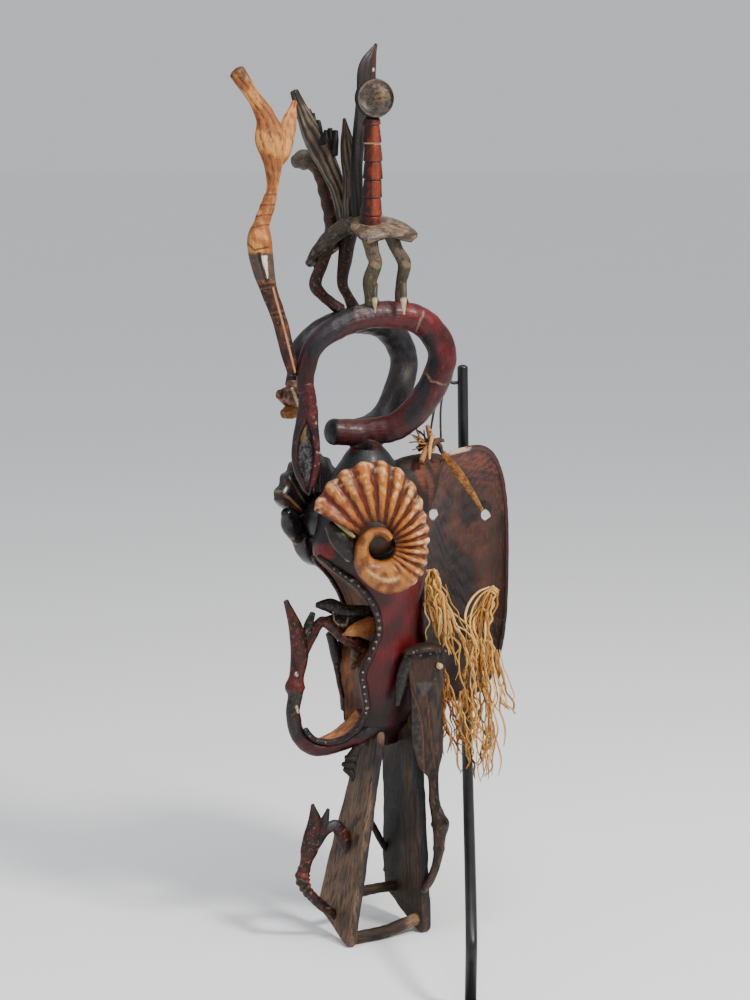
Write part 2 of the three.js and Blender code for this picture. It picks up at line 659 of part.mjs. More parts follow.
function farRaffia() {
  return limb([
    [157, 22, 368, 5, 6], [146, 4, 330, 9, 14], [130, -20, 280, 11, 20], [117, -45, 230, 11, 24],
    [104, -66, 182, 6, 20],
  ], { across: [0.5, 0.866, 0], steps: 6, sides: 6 });
}

// Points of the stand lie in the vertical plane of the rod: `side` is the distance across the
// line of sight, `away` the distance along it.
function standPoint(side, away, z) {
  const turn = radians(STAND.sightTurn);
  return [side * Math.cos(turn) + away * Math.sin(turn), away * Math.cos(turn) - side * Math.sin(turn), z];
}

const ROD_PATH = [
  standPoint(98.3, 128, 613), standPoint(104.3, 128, 235), standPoint(104, 118, 212),
  standPoint(97, -216, 86), standPoint(96.5, -236, 70), standPoint(96, -236, STAND.footThickness + FIT_GAP),
];
const HOOK_TIP = standPoint(78.4, 125, 600);
const FOOT_CENTRE = standPoint(96, -228 - STAND.footLength / 2, 0);

// The rod stands up behind the hollow; below it a cranked arm reaches forward to the foot.
function standRod() {
  const path = new THREE.CurvePath();
  const points = ROD_PATH.map((p) => new THREE.Vector3(...p));
  const [top, upperBend, , , lowerBend, bottom] = points;
  path.add(new THREE.LineCurve3(top, upperBend));
  path.add(new THREE.CubicBezierCurve3(upperBend, points[2], points[3], lowerBend));
  path.add(new THREE.LineCurve3(lowerBend, bottom));
  const lengths = [0, 0.42, 0.46, 0.5, 0.58, 0.8, 0.86, 0.9, 0.94, 1];
  const rings = [];
  for (const share of lengths) {
    const centre = path.getPointAt(share);
    const along = path.getTangentAt(share);
    const wide = new THREE.Vector3(...standPoint(1, 0, 0)).normalize();
    wide.addScaledVector(along, -wide.dot(along)).normalize();
    const deep = new THREE.Vector3().crossVectors(along, wide);
    rings.push(Array.from({ length: 8 }, (_, j) => {
      const angle = (Math.PI * j) / 4;
      const point = centre.clone().addScaledVector(wide, STAND.rodRadius * Math.cos(angle));
      return point.addScaledVector(deep, STAND.rodRadius * Math.sin(angle)).toArray();
    }));
  }
  const rod = loft(rings, points[0].toArray(), bottom.toArray());
  const hook = limb([
    [...standPoint(99, 128, 598), 2, 2], [...standPoint(88, 127, 596), 2, 2], [...standPoint(83, 126, 599), 2, 2],
    [...standPoint(82, 126, 606), 1.6, 1.6],
  ], { steps: 3, sides: 5 });
  return join(rod, hook);
}

function standFoot() {
  const { footWidth, footLength, footThickness, sightTurn } = STAND;
  const geometry = new THREE.BoxGeometry(footWidth, footLength, footThickness);
  geometry.rotateZ(radians(-sightTurn));
  geometry.translate(FOOT_CENTRE[0], FOOT_CENTRE[1], footThickness / 2);
  return solidFromGeometry(geometry);
}

function paint(color, roughness, metalness = 0) {
  return new THREE.MeshStandardMaterial({ color, roughness, metalness });
}

const darkWood = paint(0x3a302a, 0.5);
const crimson = paint(0x6b1a1a, 0.4);
const ochre = paint(0xc58a4a, 0.55);
const paleWood = paint(0xc98f58, 0.65);
const boardWood = paint(0x5a4a40, 0.75);
const bark = paint(0xb98a52, 0.7);
const raffiaStraw = paint(0xd9b271, 0.85);
const blackSteel = paint(0x1c1c1e, 0.35, 0.6);

const group = new THREE.Group();
group.position.set(-FOOT_CENTRE[0], -FOOT_CENTRE[1], 0);

function add(name, solid, material) {
  const { vertProperties, triVerts, numProp } = solid.getMesh();
  if (numProp !== 3) throw new Error(`${name}: unexpected vertex layout`);
  const geometry = new THREE.BufferGeometry();
  geometry.setAttribute('position', new THREE.BufferAttribute(new Float32Array(vertProperties), 3));
  geometry.setIndex(new THREE.BufferAttribute(new Uint32Array(triVerts), 1));
  geometry.computeVertexNormals();
  const mesh = new THREE.Mesh(geometry, material);
  mesh.name = name;
  group.add(mesh);
}

const head = maskHead();
add('mask_head', head, crimson);

const ears = [NEAR, FAR].map((side) => fitTo(ear(side), [head], [[0, side, 0]]));
add('near_ear', ears[0], ochre);
add('far_ear', ears[1], ochre);

const arch = fitTo(snakeArch(), [head], [UPWARD]);
add('snake_arch', arch, crimson);

const figures = fitTo(twinFigures(), [arch], [UPWARD]);
add('twin_figures', figures, darkWood);
add('pale_bird', fitTo(paleBird(), [arch, figures]), paleWood);

const front = fitTo(join(frontBoard(), boardKnot()), [head], [DOWNWARD]);
const back = fitTo(backBoard(), [head], [DOWNWARD]);
add('front_board', front, boardWood);
add('back_board', back, boardWood);

const bars = {
  bottom_bar: [[-50, -30, 7.5, 6, 7], [-5, -30, 8, 6, 7], [40, -30, 16, 6, 7]],
  middle_bar: [[-44, 18, 38, 6, 6], [0, 18, 40, 6, 6], [45, 18, 39, 6, 6]],
  slant_stick: [[-22, 4, 168, 3.5, 3.5], [8, 22, 116, 3.5, 3.5], [42, 40, 66, 3.5, 3.5]],
};
for (const [name, stations] of Object.entries(bars)) {
  add(name, fitTo(bar(stations), [front, back]), boardWood);
}
add('board_bird', fitTo(boardBird(), [front], [FORWARD]), darkWood);

const [nearLeaf, farLeaf] = [NEAR, FAR].map((side) => (
  fitTo(fitTo(sideOrnament(side), [head], [[0, side, 0]]), [back], [[0, side, 0]])
));
add('near_side_leaf', nearLeaf, darkWood);
add('far_side_leaf', farLeaf, darkWood);
const peg = fitTo(sidePeg(), [nearLeaf], [[0, NEAR, 0]]);
add('side_peg', peg, paleWood);

const rod = standRod();
const tie = fitTo(topTie(), [head], [UPWARD]);
add('strap', fitTo(strap(), [head]), bark);
add('top_tie', tie, bark);
const wires = join(wire([52, -28, 556]), wire([70, -21, 544]));
add('hanging_wire', fitTo(wires, [tie]), bark);
const nearStrands = fitTo(nearRaffia(), [head, ears[0]], [[0, NEAR, 0]]);
add('near_raffia', fitTo(nearStrands, [nearLeaf, peg], [[0, FAR, 0]]), raffiaStraw);
add('far_raffia', fitTo(farRaffia(), [head], [[0, NEAR, 0]]), raffiaStraw);
add('stand_rod', rod, blackSteel);
add('stand_foot', standFoot(), blackSteel);

export default group;
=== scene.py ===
"""A carved hornbill mask on its display stand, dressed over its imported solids.

The head, jaw hook and hollow are one carved block, painted crimson and black. Two ribbed ears,
a coiled snake arch, a pair of crest figures, a pale hanging bird, two boards with sticks and a
small bird, side leaves, raffia, a strap and the steel rod stand are added in that order.
"""

import json

import bpy
import numpy as np
from mathutils import Matrix

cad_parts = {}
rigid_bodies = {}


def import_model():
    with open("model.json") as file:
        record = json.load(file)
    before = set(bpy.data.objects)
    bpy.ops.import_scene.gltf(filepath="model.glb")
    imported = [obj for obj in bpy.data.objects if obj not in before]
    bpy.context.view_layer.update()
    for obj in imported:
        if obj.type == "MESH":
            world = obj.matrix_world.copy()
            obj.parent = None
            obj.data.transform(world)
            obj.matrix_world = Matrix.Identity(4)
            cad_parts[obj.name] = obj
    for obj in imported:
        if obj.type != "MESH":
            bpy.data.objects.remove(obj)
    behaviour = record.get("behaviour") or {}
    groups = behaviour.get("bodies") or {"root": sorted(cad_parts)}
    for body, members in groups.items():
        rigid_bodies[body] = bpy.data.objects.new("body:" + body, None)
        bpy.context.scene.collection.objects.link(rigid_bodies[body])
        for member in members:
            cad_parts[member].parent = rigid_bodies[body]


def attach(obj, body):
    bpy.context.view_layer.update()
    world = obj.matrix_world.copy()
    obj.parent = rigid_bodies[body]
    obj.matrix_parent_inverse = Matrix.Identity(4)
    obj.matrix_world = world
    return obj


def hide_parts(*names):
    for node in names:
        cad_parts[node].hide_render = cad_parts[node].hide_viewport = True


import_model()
# From the middle of the foot, where the frame has its origin, to the middle of the head, in mm.
FOOT_TO_HEAD = np.array([73.36, 319.07, 0])
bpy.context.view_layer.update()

# The two boards under the jaw are sawn softwood planks, grey-brown with dust and handling, their
# edges rounded by wear. The front one leans back under the chin and its far corner is cut away.


def tint(code):
    """The linear colour of a paint given as a hexadecimal screen colour, deepened by a power
    because old oiled paint is darker in soft light than its swatch."""
    screen = np.array([int(code[k : k + 2], 16) for k in (0, 2, 4)]) / 255
    return np.where(screen < 0.04045, screen / 12.92, ((screen + 0.055) / 1.055) ** 2.4) ** 1.14


def blend(under, over, amount):
    """Lays a colour over another: under + (over - under) * amount, point by point. A colour is
    given as its code or as a row of numbers."""
    under, over = (tint(colour) if isinstance(colour, str) else colour for colour in (under, over))
    amount = np.clip(np.asarray(amount, float), 0, 1)[..., None]
    return np.asarray(under) * (1 - amount) + np.asarray(over) * amount


def ripple(points, size, seed):
    """An uneven swell from -1 to 1: the mean of twelve sine waves of about `size` in length that
    run in mixed directions."""
    mix = np.random.default_rng(seed)
    waves = mix.normal(size=(12, points.shape[1])) * 4.4 / size
    return np.clip(np.sin(points @ waves.T + mix.uniform(0, 6.28, 12)).mean(axis=1) * 2.4, -1, 1)


def rise(value, low, high):
    """A smooth step: 0 below `low`, 1 above `high`, and 3t^2 - 2t^3 between them."""
    t = np.clip((value - low) / (high - low), 0, 1)
    return t * t * (3 - 2 * t)


# The drawing is made from an eye this far away and this high, turned and tipped by these sines and
# cosines. Its middle is at this spot, and it shows a length as this many steps over the distance.
EYE_AWAY, EYE_UP = 2400, 865
TURN_COS, TURN_SIN = 0.866, 0.5
TIP_COS, TIP_SIN = 0.98755, 0.1573
MIDDLE_RIGHT, MIDDLE_DOWN, ENLARGED = 375, 500, 2256
FLAT_WISE = (TURN_COS, -TURN_SIN, 0)


def sheet(points):
    """Where a point falls on the carver's flat drawing of the mask, drawn from its near side, 30
    degrees round to its face: to the right and downwards, in steps of about a millimetre."""
    x, y, z = points.T
    across, away, drop = TURN_COS * x - TURN_SIN * y, EYE_AWAY + TURN_SIN * x + TURN_COS * y, EYE_UP - z
    reach = away * TIP_COS + drop * TIP_SIN
    right = MIDDLE_RIGHT + ENLARGED * across / reach
    return np.stack([right, MIDDLE_DOWN - ENLARGED * (away * TIP_SIN - drop * TIP_COS) / reach], axis=1)


def from_sheet(right, down, behind):
    """The reverse of sheet(): the point over a spot of the drawing, `behind` its middle plane."""
    slope = (MIDDLE_DOWN - down) / ENLARGED
    away = EYE_AWAY + behind
    drop = away * (TIP_SIN - slope * TIP_COS) / (TIP_COS + slope * TIP_SIN)
    across = (right - MIDDLE_RIGHT) * (away * TIP_COS + drop * TIP_SIN) / ENLARGED
    return [TURN_COS * across + TURN_SIN * behind, TURN_COS * behind - TURN_SIN * across, EYE_UP - drop]


def stroke(spots, line, width, soft=0.8):
    """How much of a brush stroke covers each spot of the drawing: 1 within half its width of the
    broken line, falling to 0 over `soft`."""
    nearest = np.full(len(spots), 1e9)
    for start, end in zip(np.array(line[:-1], float), np.array(line[1:], float)):
        way = end - start
        share = np.clip(((spots - start) @ way) / max(way @ way, 1e-9), 0, 1)
        nearest = np.minimum(nearest, np.linalg.norm(spots - start - share[:, None] * way, axis=1))
    return 1 - rise(nearest, width / 2, width / 2 + soft)


def patch(spots, corners, soft=1.5):
    """How much of a painted patch covers each spot: 1 inside its outline by the crossing rule,
    and falling to 0 over `soft` outside it."""
    corners = np.array(corners, float)
    inside = np.zeros(len(spots), bool)
    for (x0, y0), (x1, y1) in zip(corners, np.roll(corners, -1, axis=0)):
        if y0 == y1:
            continue
        crossing = (y0 > spots[:, 1]) != (y1 > spots[:, 1])
        inside ^= crossing & (spots[:, 0] < (x1 - x0) * (spots[:, 1] - y0) / (y1 - y0) + x0)
    return np.maximum(inside, stroke(spots, np.vstack([corners, corners[:1]]), 0.2, soft))


def closed_skin(rings, first, last, grain=None):
    """A closed skin over a row of rings of equal count, with a point at each end, turned so that
    its faces look out. Its grain is where each point lies along, across and through the fibres."""
    rows, count = rings.shape[:2]
    points = np.vstack([rings.reshape(-1, 3), first, last])
    start = np.arange(rows - 1)[:, None] * count + np.arange(count)
    side = np.arange(rows - 1)[:, None] * count + (np.arange(count) + 1) % count
    quads = np.stack([start, side, side + count, start + count], axis=-1).reshape(-1, 4)
    here, there = np.arange(count), (np.arange(count) + 1) % count
    low = np.stack([np.full(count, rows * count), there, here], axis=-1)
    high = np.stack(
        [np.full(count, rows * count + 1), here + (rows - 1) * count, there + (rows - 1) * count], axis=-1
    )
    a, b, c, d = (points[quads[:, k]] for k in range(4))
    swept = np.einsum("ij,ij->i", a, np.cross(b, c)).sum() + np.einsum("ij,ij->i", a, np.cross(c, d)).sum()
    for ends in (low, high):
        swept += np.einsum(
            "ij,ij->i", points[ends[:, 0]], np.cross(points[ends[:, 1]], points[ends[:, 2]])
        ).sum()
    if swept < 0:
        quads, low, high = quads[:, ::-1], low[:, ::-1], high[:, ::-1]
    return {
        "points": points,
        "quads": quads,
        "ends": np.vstack([low, high]),
        "grain": points[:, [2, 1, 0]] if grain is None else grain,
    }


def finish_skin(skin, colour, worn=0.3):
    """Gives each point of a skin its paint and how worn it is, each a number or a rule of the
    skin's points, its drawing spots and its own measures."""
    count = len(skin["points"])
    skin["spots"] = sheet(skin["points"])
    colour = colour(skin) if callable(colour) else colour
    colour = tint(colour) if isinstance(colour, str) else colour
    worn = worn(skin) if callable(worn) else worn
    skin["paint"] = np.broadcast_to(np.asarray(colour, float), (count, 3))
    skin["worn"] = np.broadcast_to(np.asarray(worn, float), (count,))
    return skin


def put(name, skins, material, slot, *nodes):
    """Sets a piece in the mask's place: all its skins in one mesh, with paint, grain and wear."""
    points = np.vstack([s["points"] for s in skins])
    starts = np.cumsum([0] + [len(s["points"]) for s in skins[:-1]])
    quads = np.vstack([s["quads"] + k for s, k in zip(skins, starts)])
    ends = np.vstack([s["ends"] + k for s, k in zip(skins, starts)])
    mesh = bpy.data.meshes.new(name)
    shifted = (points + FOOT_TO_HEAD) / 1000
    mesh.from_pydata(shifted.tolist(), [], quads.tolist() + ends.tolist())
    mesh.polygons.foreach_set("use_smooth", np.ones(len(mesh.polygons), bool))
    paint = mesh.attributes.new("paint", "FLOAT_COLOR", "POINT")
    full = np.hstack([np.vstack([s["paint"] for s in skins]), np.ones((len(points), 1))])
    paint.data.foreach_set("color", full.astype(np.float32).ravel())
    grain = mesh.attributes.new("grain", "FLOAT_VECTOR", "POINT")
    grain.data.foreach_set("vector", np.vstack([s["grain"] for s in skins]).astype(np.float32).ravel())
    worn = mesh.attributes.new("worn", "FLOAT", "POINT")
    worn.data.foreach_set("value", np.concatenate([s["worn"] for s in skins]).astype(np.float32))
    mesh.materials.append(material)
    piece = bpy.data.objects.new(name, mesh)
    bpy.context.scene.collection.objects.link(piece)
    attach(piece, "root")
    if nodes:
        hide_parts(*nodes)
    return piece


def finished_wood(name, rough, bare, grime, fibre=0.4, speckle=0.28, chips=0.5, coat=0.0, relief=0.5):
    """Painted or bare carved wood: its paint varied by stretched fibres and fine speckle, grimed
    in broad patches, and chipped to bare wood where it is worn, with the same in its bump."""
    material = bpy.data.materials.new(name)
    material.use_nodes = True
    nodes, links = material.node_tree.nodes, material.node_tree.links
    shader = nodes["Principled BSDF"]

    def noise(vector, scale, detail, roughness=0.55):
        texture = nodes.new("ShaderNodeTexNoise")
        texture.inputs["Scale"].default_value = scale
        texture.inputs["Detail"].default_value = detail
        texture.inputs["Roughness"].default_value = roughness
        links.new(vector, texture.inputs["Vector"])
        return texture.outputs["Fac"]

    def scaled(value, low, high, to_low, to_high):
        span = nodes.new("ShaderNodeMapRange")
        for socket, number in zip(
            ("From Min", "From Max", "To Min", "To Max"), (low, high, to_low, to_high)
        ):
            span.inputs[socket].default_value = number
        links.new(value, span.inputs["Value"])
        return span.outputs["Result"]

    def arithmetic(kind, first, second):
        step = nodes.new("ShaderNodeMath")
        step.operation = kind
        for socket, value in zip(step.inputs, (first, second)):
            if isinstance(value, (int, float)):
                socket.default_value = value
            else:
                links.new(value, socket)
        return step.outputs[0]

    def layered(kind, amount, under, over):
        mix = nodes.new("ShaderNodeMix")
        mix.data_type = "RGBA"
        mix.blend_type = kind
        for socket, value in ((mix.inputs[0], amount), (mix.inputs[6], under), (mix.inputs[7], over)):
            if isinstance(value, (int, float, tuple)):
                socket.default_value = value
            else:
                links.new(value, socket)
        return mix.outputs[2]

    def read(attribute, output):
        reader = nodes.new("ShaderNodeAttribute")
        reader.attribute_name = attribute
        return reader.outputs[output]

    place = nodes.new("ShaderNodeTexCoord").outputs["Object"]
    along = nodes.new("ShaderNodeMapping")
    along.inputs["Scale"].default_value = (0.06, 0.75, 0.75)
    links.new(read("grain", "Vector"), along.inputs["Vector"])
    fibres = noise(along.outputs["Vector"], 1.0, 4)
    fine = noise(place, 620, 3)
    broad = noise(place, 55, 4)
    flecks = noise(place, 260, 5, 0.65)
    paint = read("paint", "Color")
    shade = arithmetic(
        "MULTIPLY",
        scaled(fibres, 0.3, 0.7, 1 - fibre, 1 + fibre * 0.7),
        scaled(fine, 0.3, 0.7, 1 - speckle, 1 + speckle * 0.8),
    )
    toned = layered("MULTIPLY", 1.0, paint, shade)
    dirty = layered("MIX", scaled(broad, 0.48, 0.75, 0.0, 0.5), toned, (*tint(grime), 1))
    edge = arithmetic("ADD", flecks, scaled(read("worn", "Fac"), 0.0, 1.0, -0.16, 0.22))
    bared = scaled(edge, 0.62, 0.68, 0.0, chips)
    colour = layered("MIX", bared, dirty, (*tint(bare), 1))
    links.new(colour, shader.inputs["Base Color"])
    gloss = arithmetic(
        "ADD", scaled(fine, 0.3, 0.7, rough - 0.07, rough + 0.09), arithmetic("MULTIPLY", bared, 0.25)
    )
    links.new(gloss, shader.inputs["Roughness"])
    shader.inputs["Coat Weight"].default_value = coat
    shader.inputs["Coat Roughness"].default_value = 0.22
    shader.inputs["Specular IOR Level"].default_value = 0.3
    height = arithmetic(
        "SUBTRACT",
        arithmetic("ADD", arithmetic("MULTIPLY", fibres, 0.8), arithmetic("MULTIPLY", fine, 0.35)),
        arithmetic("MULTIPLY", bared, 0.5),
    )
    bump = nodes.new("ShaderNodeBump")
    bump.inputs["Strength"].default_value = relief
    bump.inputs["Distance"].default_value = 0.0009
    links.new(height, bump.inputs["Height"])
    links.new(bump.outputs["Normal"], shader.inputs["Normal"])
    return material


def plank(outline, thickness, lean, foot, seed):
    """A sawn board: rings of its outline shrunk towards its middle, on the front face, round the
    worn edge and on the back face, turned by its lean and stood on the floor."""
    corners = np.array(outline + outline[:1], float)
    walked = np.concatenate([[0], np.cumsum(np.linalg.norm(np.diff(corners, axis=0), axis=1))])
    steps = np.linspace(0, walked[-1], 181)[:-1]
    edge = np.stack([np.interp(steps, walked, corners[:, k]) for k in (0, 1)], axis=1)
    edge = sum(np.roll(edge, k, axis=0) for k in (-2, -1, 0, 1, 2)) / 5
    middle = edge.mean(axis=0)
    edge += (edge - middle) / np.linalg.norm(
        edge - middle, axis=1
    )[:, None] * ripple(edge, 26, seed)[:, None] * 0.9
    face = np.linspace(0.03, 0.965, 20)
    shares = np.concatenate([face, [0.985, 0.996, 1, 1, 0.996, 0.985], face[::-1]])
    depths = np.concatenate(
        [0 * face, [0.5, 1.4, 3, thickness - 3, thickness - 1.4, thickness - 0.5], 0 * face + thickness]
    )
    flat = middle + (edge - middle)[None] * shares[:, None, None]
    dents = ripple(
        np.dstack([flat, depths[:, None, None] + 0 * flat[..., :1]]).reshape(-1, 3), 30, seed + 1
    ).reshape(flat.shape[:2])
    depth = depths[:, None] + 0.5 * dents * np.where(depths > thickness / 2, 1, -1)[:, None]
    turn = np.radians(lean)

    def stand(y, z, d):
        """A point of the board, across, up and into it, where the leaning board stands."""
        return np.stack(
            [d * np.cos(turn) + z * np.sin(turn) + foot, y, z * np.cos(turn) - d * np.sin(turn)], axis=-1
        )

    rings = stand(flat[..., 0], flat[..., 1], depth)
    lift = [0, 0, -min(rings[..., 2].min(), 0)]
    tips = [stand(*middle, 0.0) + lift, stand(*middle, thickness) + lift]
    grain = np.vstack(
        [np.stack([flat[..., 1], flat[..., 0], depth], axis=-1).reshape(-1, 3)]
        + [[middle[1], middle[0], 0]] * 2
    )
    return closed_skin(rings + lift, tips[0], tips[1], grain)


def board_paint(skin):
    """Grey-brown wood with a redder band down it, blue-grey edge strips and darker ends, with painted
    shade down the back board beside the front one.
    """
    points, spots = skin["points"], skin["spots"]
    base = blend("7d6651", "55473b", rise(ripple(points, 60, 3), -0.3, 0.6))
    base = blend(base, "80583f", 0.5 * rise(ripple(points * [3, 3, 0.3], 30, 5), 0.0, 0.6))
    base = blend(base, "272220", 0.75 * rise(ripple(points * [2.5, 2.5, 0.35], 16, 7), 0.15, 0.6))
    base = blend(base, "2a2c31", stroke(spots, [(378, 745), (373, 828), (359, 930)], 5, 2) * 0.85)
    base = blend(base, "3b3e44", stroke(spots, [(417, 750), (426, 860), (432, 925)], 9, 3) * 0.85)
    # Painted shade: a dark band down the back board's strip where the front board stands before it.
    return blend(base, "221f1f", stroke(spots, [(392, 760), (390, 830), (392, 870)], 12, 8) * 0.8)


board_wood = finished_wood(
    "weathered_board", 0.58, "9a8369", "352f2b", fibre=0.7, speckle=0.35, chips=0.3, relief=1.0
)
front = plank([[-40, 0], [-32, 0.5], [40, 25], [34, 80], [14, 238], [-22, 238]], 10, 11.8, -57, 11)
back = plank(
    [[-40, 0], [-24, 1], [42, 30], [43, 70], [30, 215], [14, 262], [-22, 262], [-36, 215]], 12.5, -2.5, 37,
    23
)
# The back board takes the board paint at half strength: painted shade, the same wood drawn darker.
put(
    "back_board_plank", [finish_skin(back, lambda skin: board_paint(skin) * 0.5, 0.4)], board_wood,
    "weathered_board", "back_board"
)

# Sticks hold the boards apart: a bar across the floor, one higher up behind it and a thin slanting
# one. They are shaved round with a knife and stained by the same dust.


def curve(stations, t, tension=None):
    """A smooth path through its stations: on each stretch, a cubic whose end slopes come from the
    stations around it, weighed by the root of their distances unless a tension is given."""
    points = np.asarray(stations, float)
    last = len(points) - 1
    points = np.vstack([2 * points[0] - points[1], points, 2 * points[-1] - points[-2]])
    k = np.minimum((t * last).astype(int), last - 1)
    w = (t * last - k)[:, None]
    p0, p1, p2, p3 = (points[k + j] for j in range(4))
    if tension is None:
        d0, d1, d2 = (
            np.sqrt(np.maximum(np.linalg.norm(b - a, axis=1, keepdims=True), 1e-4))
            for a, b in ((p0, p1), (p1, p2), (p2, p3))
        )
        out = ((p1 - p0) / d0 - (p2 - p0) / (d0 + d1) + (p2 - p1) / d1) * d1
        back_in = ((p2 - p1) / d1 - (p3 - p1) / (d1 + d2) + (p3 - p2) / d2) * d1
    else:
        out, back_in = tension * (p2 - p0), tension * (p3 - p1)
    return p1 + w * out + w**2 * (
        3 * (p2 - p1) - 2 * out - back_in
    ) + w**3 * (2 * (p1 - p2) + out + back_in)


def limb(
    stations, across=(0, 1, 0), rows=90, sides=36, relief=None, colour="6b5546", worn=0.3, rough=0.35,
    seed=1
):
    """A carved limb: centre + wide * a * cos(angle) + deep * b * sin(angle) along a smooth path,
    with knife-cut unevenness, any relief pushed out of it, and rounded ends. A station is x, y, z,
    half width along `across`, and half depth."""
    stations = np.array([list(s) + [s[3]] * (5 - len(s)) for s in stations], float)
    t = np.linspace(0, 1, rows)
    path = curve(stations[:, :3], t)
    size = np.maximum(curve(stations[:, 3:], t, 0.4), 0.3)
    along = np.gradient(path, axis=0)
    along /= np.linalg.norm(along, axis=1, keepdims=True)
    walked = np.concatenate([[0], np.cumsum(np.linalg.norm(np.diff(path, axis=0), axis=1))])
    wide = np.array(across, float) - along * (along @ np.array(across, float))[:, None]
    wide /= np.linalg.norm(wide, axis=1, keepdims=True)
    deep = np.cross(along, wide)
    cap = np.array([0.3, 0.62, 0.86, 0.97])
    caps = len(cap)
    reach = np.sqrt(1 - cap**2)
    first, last = 0.6 * size[0].min(), 0.6 * size[-1].min()
    path = np.vstack(
        [path[0] - along[0] * first * reach[:, None], path, path[-1] + along[-1] * last * reach[::-1, None]]
    )
    size = np.vstack([size[0] * cap[:, None], size, size[-1] * cap[::-1, None]])
    wide = np.vstack([[wide[0]] * caps, wide, [wide[-1]] * caps])
    deep = np.vstack([[deep[0]] * caps, deep, [deep[-1]] * caps])
    t = np.concatenate([[0] * caps, t, [1] * caps])
    walked = np.concatenate([walked[0] - first * reach, walked, walked[-1] + last * reach[::-1]])
    angle = np.linspace(0, 2 * np.pi, sides, endpoint=False)[None]
    out = wide[:, None] * (
        size[:, :1] * np.cos(angle)
    )[..., None] + deep[:, None] * (size[:, 1:] * np.sin(angle))[..., None]
    length = np.linalg.norm(out, axis=2, keepdims=True)
    normal = out / np.maximum(length, 1e-6)
    middle = path[:, None] + out
    push = rough * ripple(middle.reshape(-1, 3), 17, seed).reshape(middle.shape[:2])
    if relief is not None:
        push = push + relief(t[:, None], angle, walked[:, None])
    fade = np.concatenate([cap * 0.8, np.ones(rows), cap[::-1] * 0.8])[:, None]
    rings = middle + normal * (push * fade)[..., None]
    grain = np.stack(
        [walked[:, None] + 0 * angle, length[..., 0] * np.cos(angle), length[..., 0] * np.sin(angle)],
        axis=-1
    )
    tips = [path[0] + (path[0] - path[1]) * 0.12, path[-1] + (path[-1] - path[-2]) * 0.12]
    skin = closed_skin(
        rings, tips[0], tips[1], np.vstack([grain.reshape(-1, 3), [walked[0], 0, 0], [walked[-1], 0, 0]])
    )
    skin["share"] = np.append((t[:, None] + 0 * angle).ravel(), [0, 1])
    skin["turn"] = np.append((angle + 0 * t[:, None]).ravel(), [0, 0])
    skin["walked"] = np.append((walked[:, None] + 0 * angle).ravel(), [walked[0], walked[-1]])
    return finish_skin(skin, colour, worn)


def bar_paint(skin):
    """Dark brown, lighter and bare towards the near right end."""
    spots = skin["spots"]
    base = blend("4a382c", "2f2823", rise(ripple(skin["points"], 22, 9), -0.2, 0.6))
    return blend(base, "a3825f", 0.8 * rise(spots[:, 0], 402, 412))


for stick, stations in {
    "bottom_bar": [[-50, -30, 7.5, 6, 7], [-5, -30, 8, 6, 7], [40, -30, 16, 6, 7]],
    "middle_bar": [[-44, 18, 38, 6, 6], [0, 18, 40, 6, 6], [45, 18, 39, 6, 6]],
}.items():
    put(
        stick + "_stick", [limb(stations, colour=bar_paint, rows=70, sides=28)], board_wood,
        "weathered_board", stick
    )
black_stick = limb(
    [[-13, 9, 153, 3.5, 3.5], [8, 22, 116, 3.5, 3.5], [42, 40, 66, 3.5, 3.5]], colour="2a2523"
)
put("slanting_stick", [black_stick], board_wood, "dark_carving", "slant_stick")

# The knot at the top of the front board is a lump of dark twisted cord over a peg.


def coil(middle, axis, radius, turns, thick, colour, seed):
    """A cord wound round a peg: a circle that climbs along the axis, with a wandering radius."""
    t = np.linspace(0, 1, 7 * turns)
    turn = 2 * np.pi * turns * t
    swell = radius * (0.75 + 0.35 * np.sin(np.pi * t))
    way = np.array(axis, float)
    side = np.cross(way, [0.3, 0.9, 0.2])
    side /= np.linalg.norm(side)
    other = np.cross(way / np.linalg.norm(way), side)
    path = np.array(middle) + way * (t - 0.5)[:, None]
    path = path + side * (swell * np.cos(turn))[:, None] + other * (swell * np.sin(turn))[:, None]
    stations = np.hstack([path, np.full((len(t), 2), thick)])
    return limb(stations, across=axis, rows=26 * turns, sides=10, colour=colour, seed=seed, rough=0.25)


knot = [
    limb(
        [[-34, -19, 216, 5, 5], [-43, -20, 203, 6, 6], [-43, -20, 191, 4, 4]], colour="2b211d", rows=30,
        sides=20
    ),
    coil([-43, -20, 202], [-6, 3, -15], 5.2, 2, 3.0, "2b211d", 5),
    limb(
        [[-48, -20, 196, 4, 4], [-42, -22, 188, 5, 4], [-40, -20, 182, 2, 2]], colour="241c19", rows=30,
        sides=20, rough=1.2
    ),
]
put(
    "front_board_plank", [finish_skin(front, board_paint, 0.4)] + knot, board_wood, "weathered_board",
    "front_board"
)

# The small bird on the front board is carved from one stick: a bent neck with a knobbed throat,
# two open bills and an arm that grips the board. Red and black paint is worn off its edges.


def mottled(first, second, third, size, seed):
    """A paint rule: two colours in soft patches of a given size, with spots of a third."""

    def rule(skin):
        points = skin["points"]
        base = blend(first, second, rise(ripple(points, size, seed), -0.25, 0.45))
        return blend(base, third, rise(ripple(points, size * 0.35, seed + 1), 0.45, 0.8))

    return rule


def bird_paint(skin):
    """Red-black mottle, greyer at the bill tips, with a dark three-cornered field at the eye and a
    grey painted highlight in it.
    """
    spots = skin["spots"]
    base = mottled("43201b", "211716", "592e24", 15, 31)(skin)
    base = blend(base, "3a2c27", rise(818 - spots[:, 1], 0, 9) * 0.8)
    base = blend(base, "2d2c31", patch(spots, [(324, 810), (338, 812), (336, 830), (325, 828)]))
    # Painted highlight: a small grey patch inside the dark eye field.
    base = blend(base, "5d5c60", patch(spots, [(328, 822), (337, 821), (337, 829), (330, 829)], 3) * 0.3)
    return blend(base, "8a3a2c", 0.7 * stroke(spots, [(299, 874), (309, 878), (310, 886)], 3))


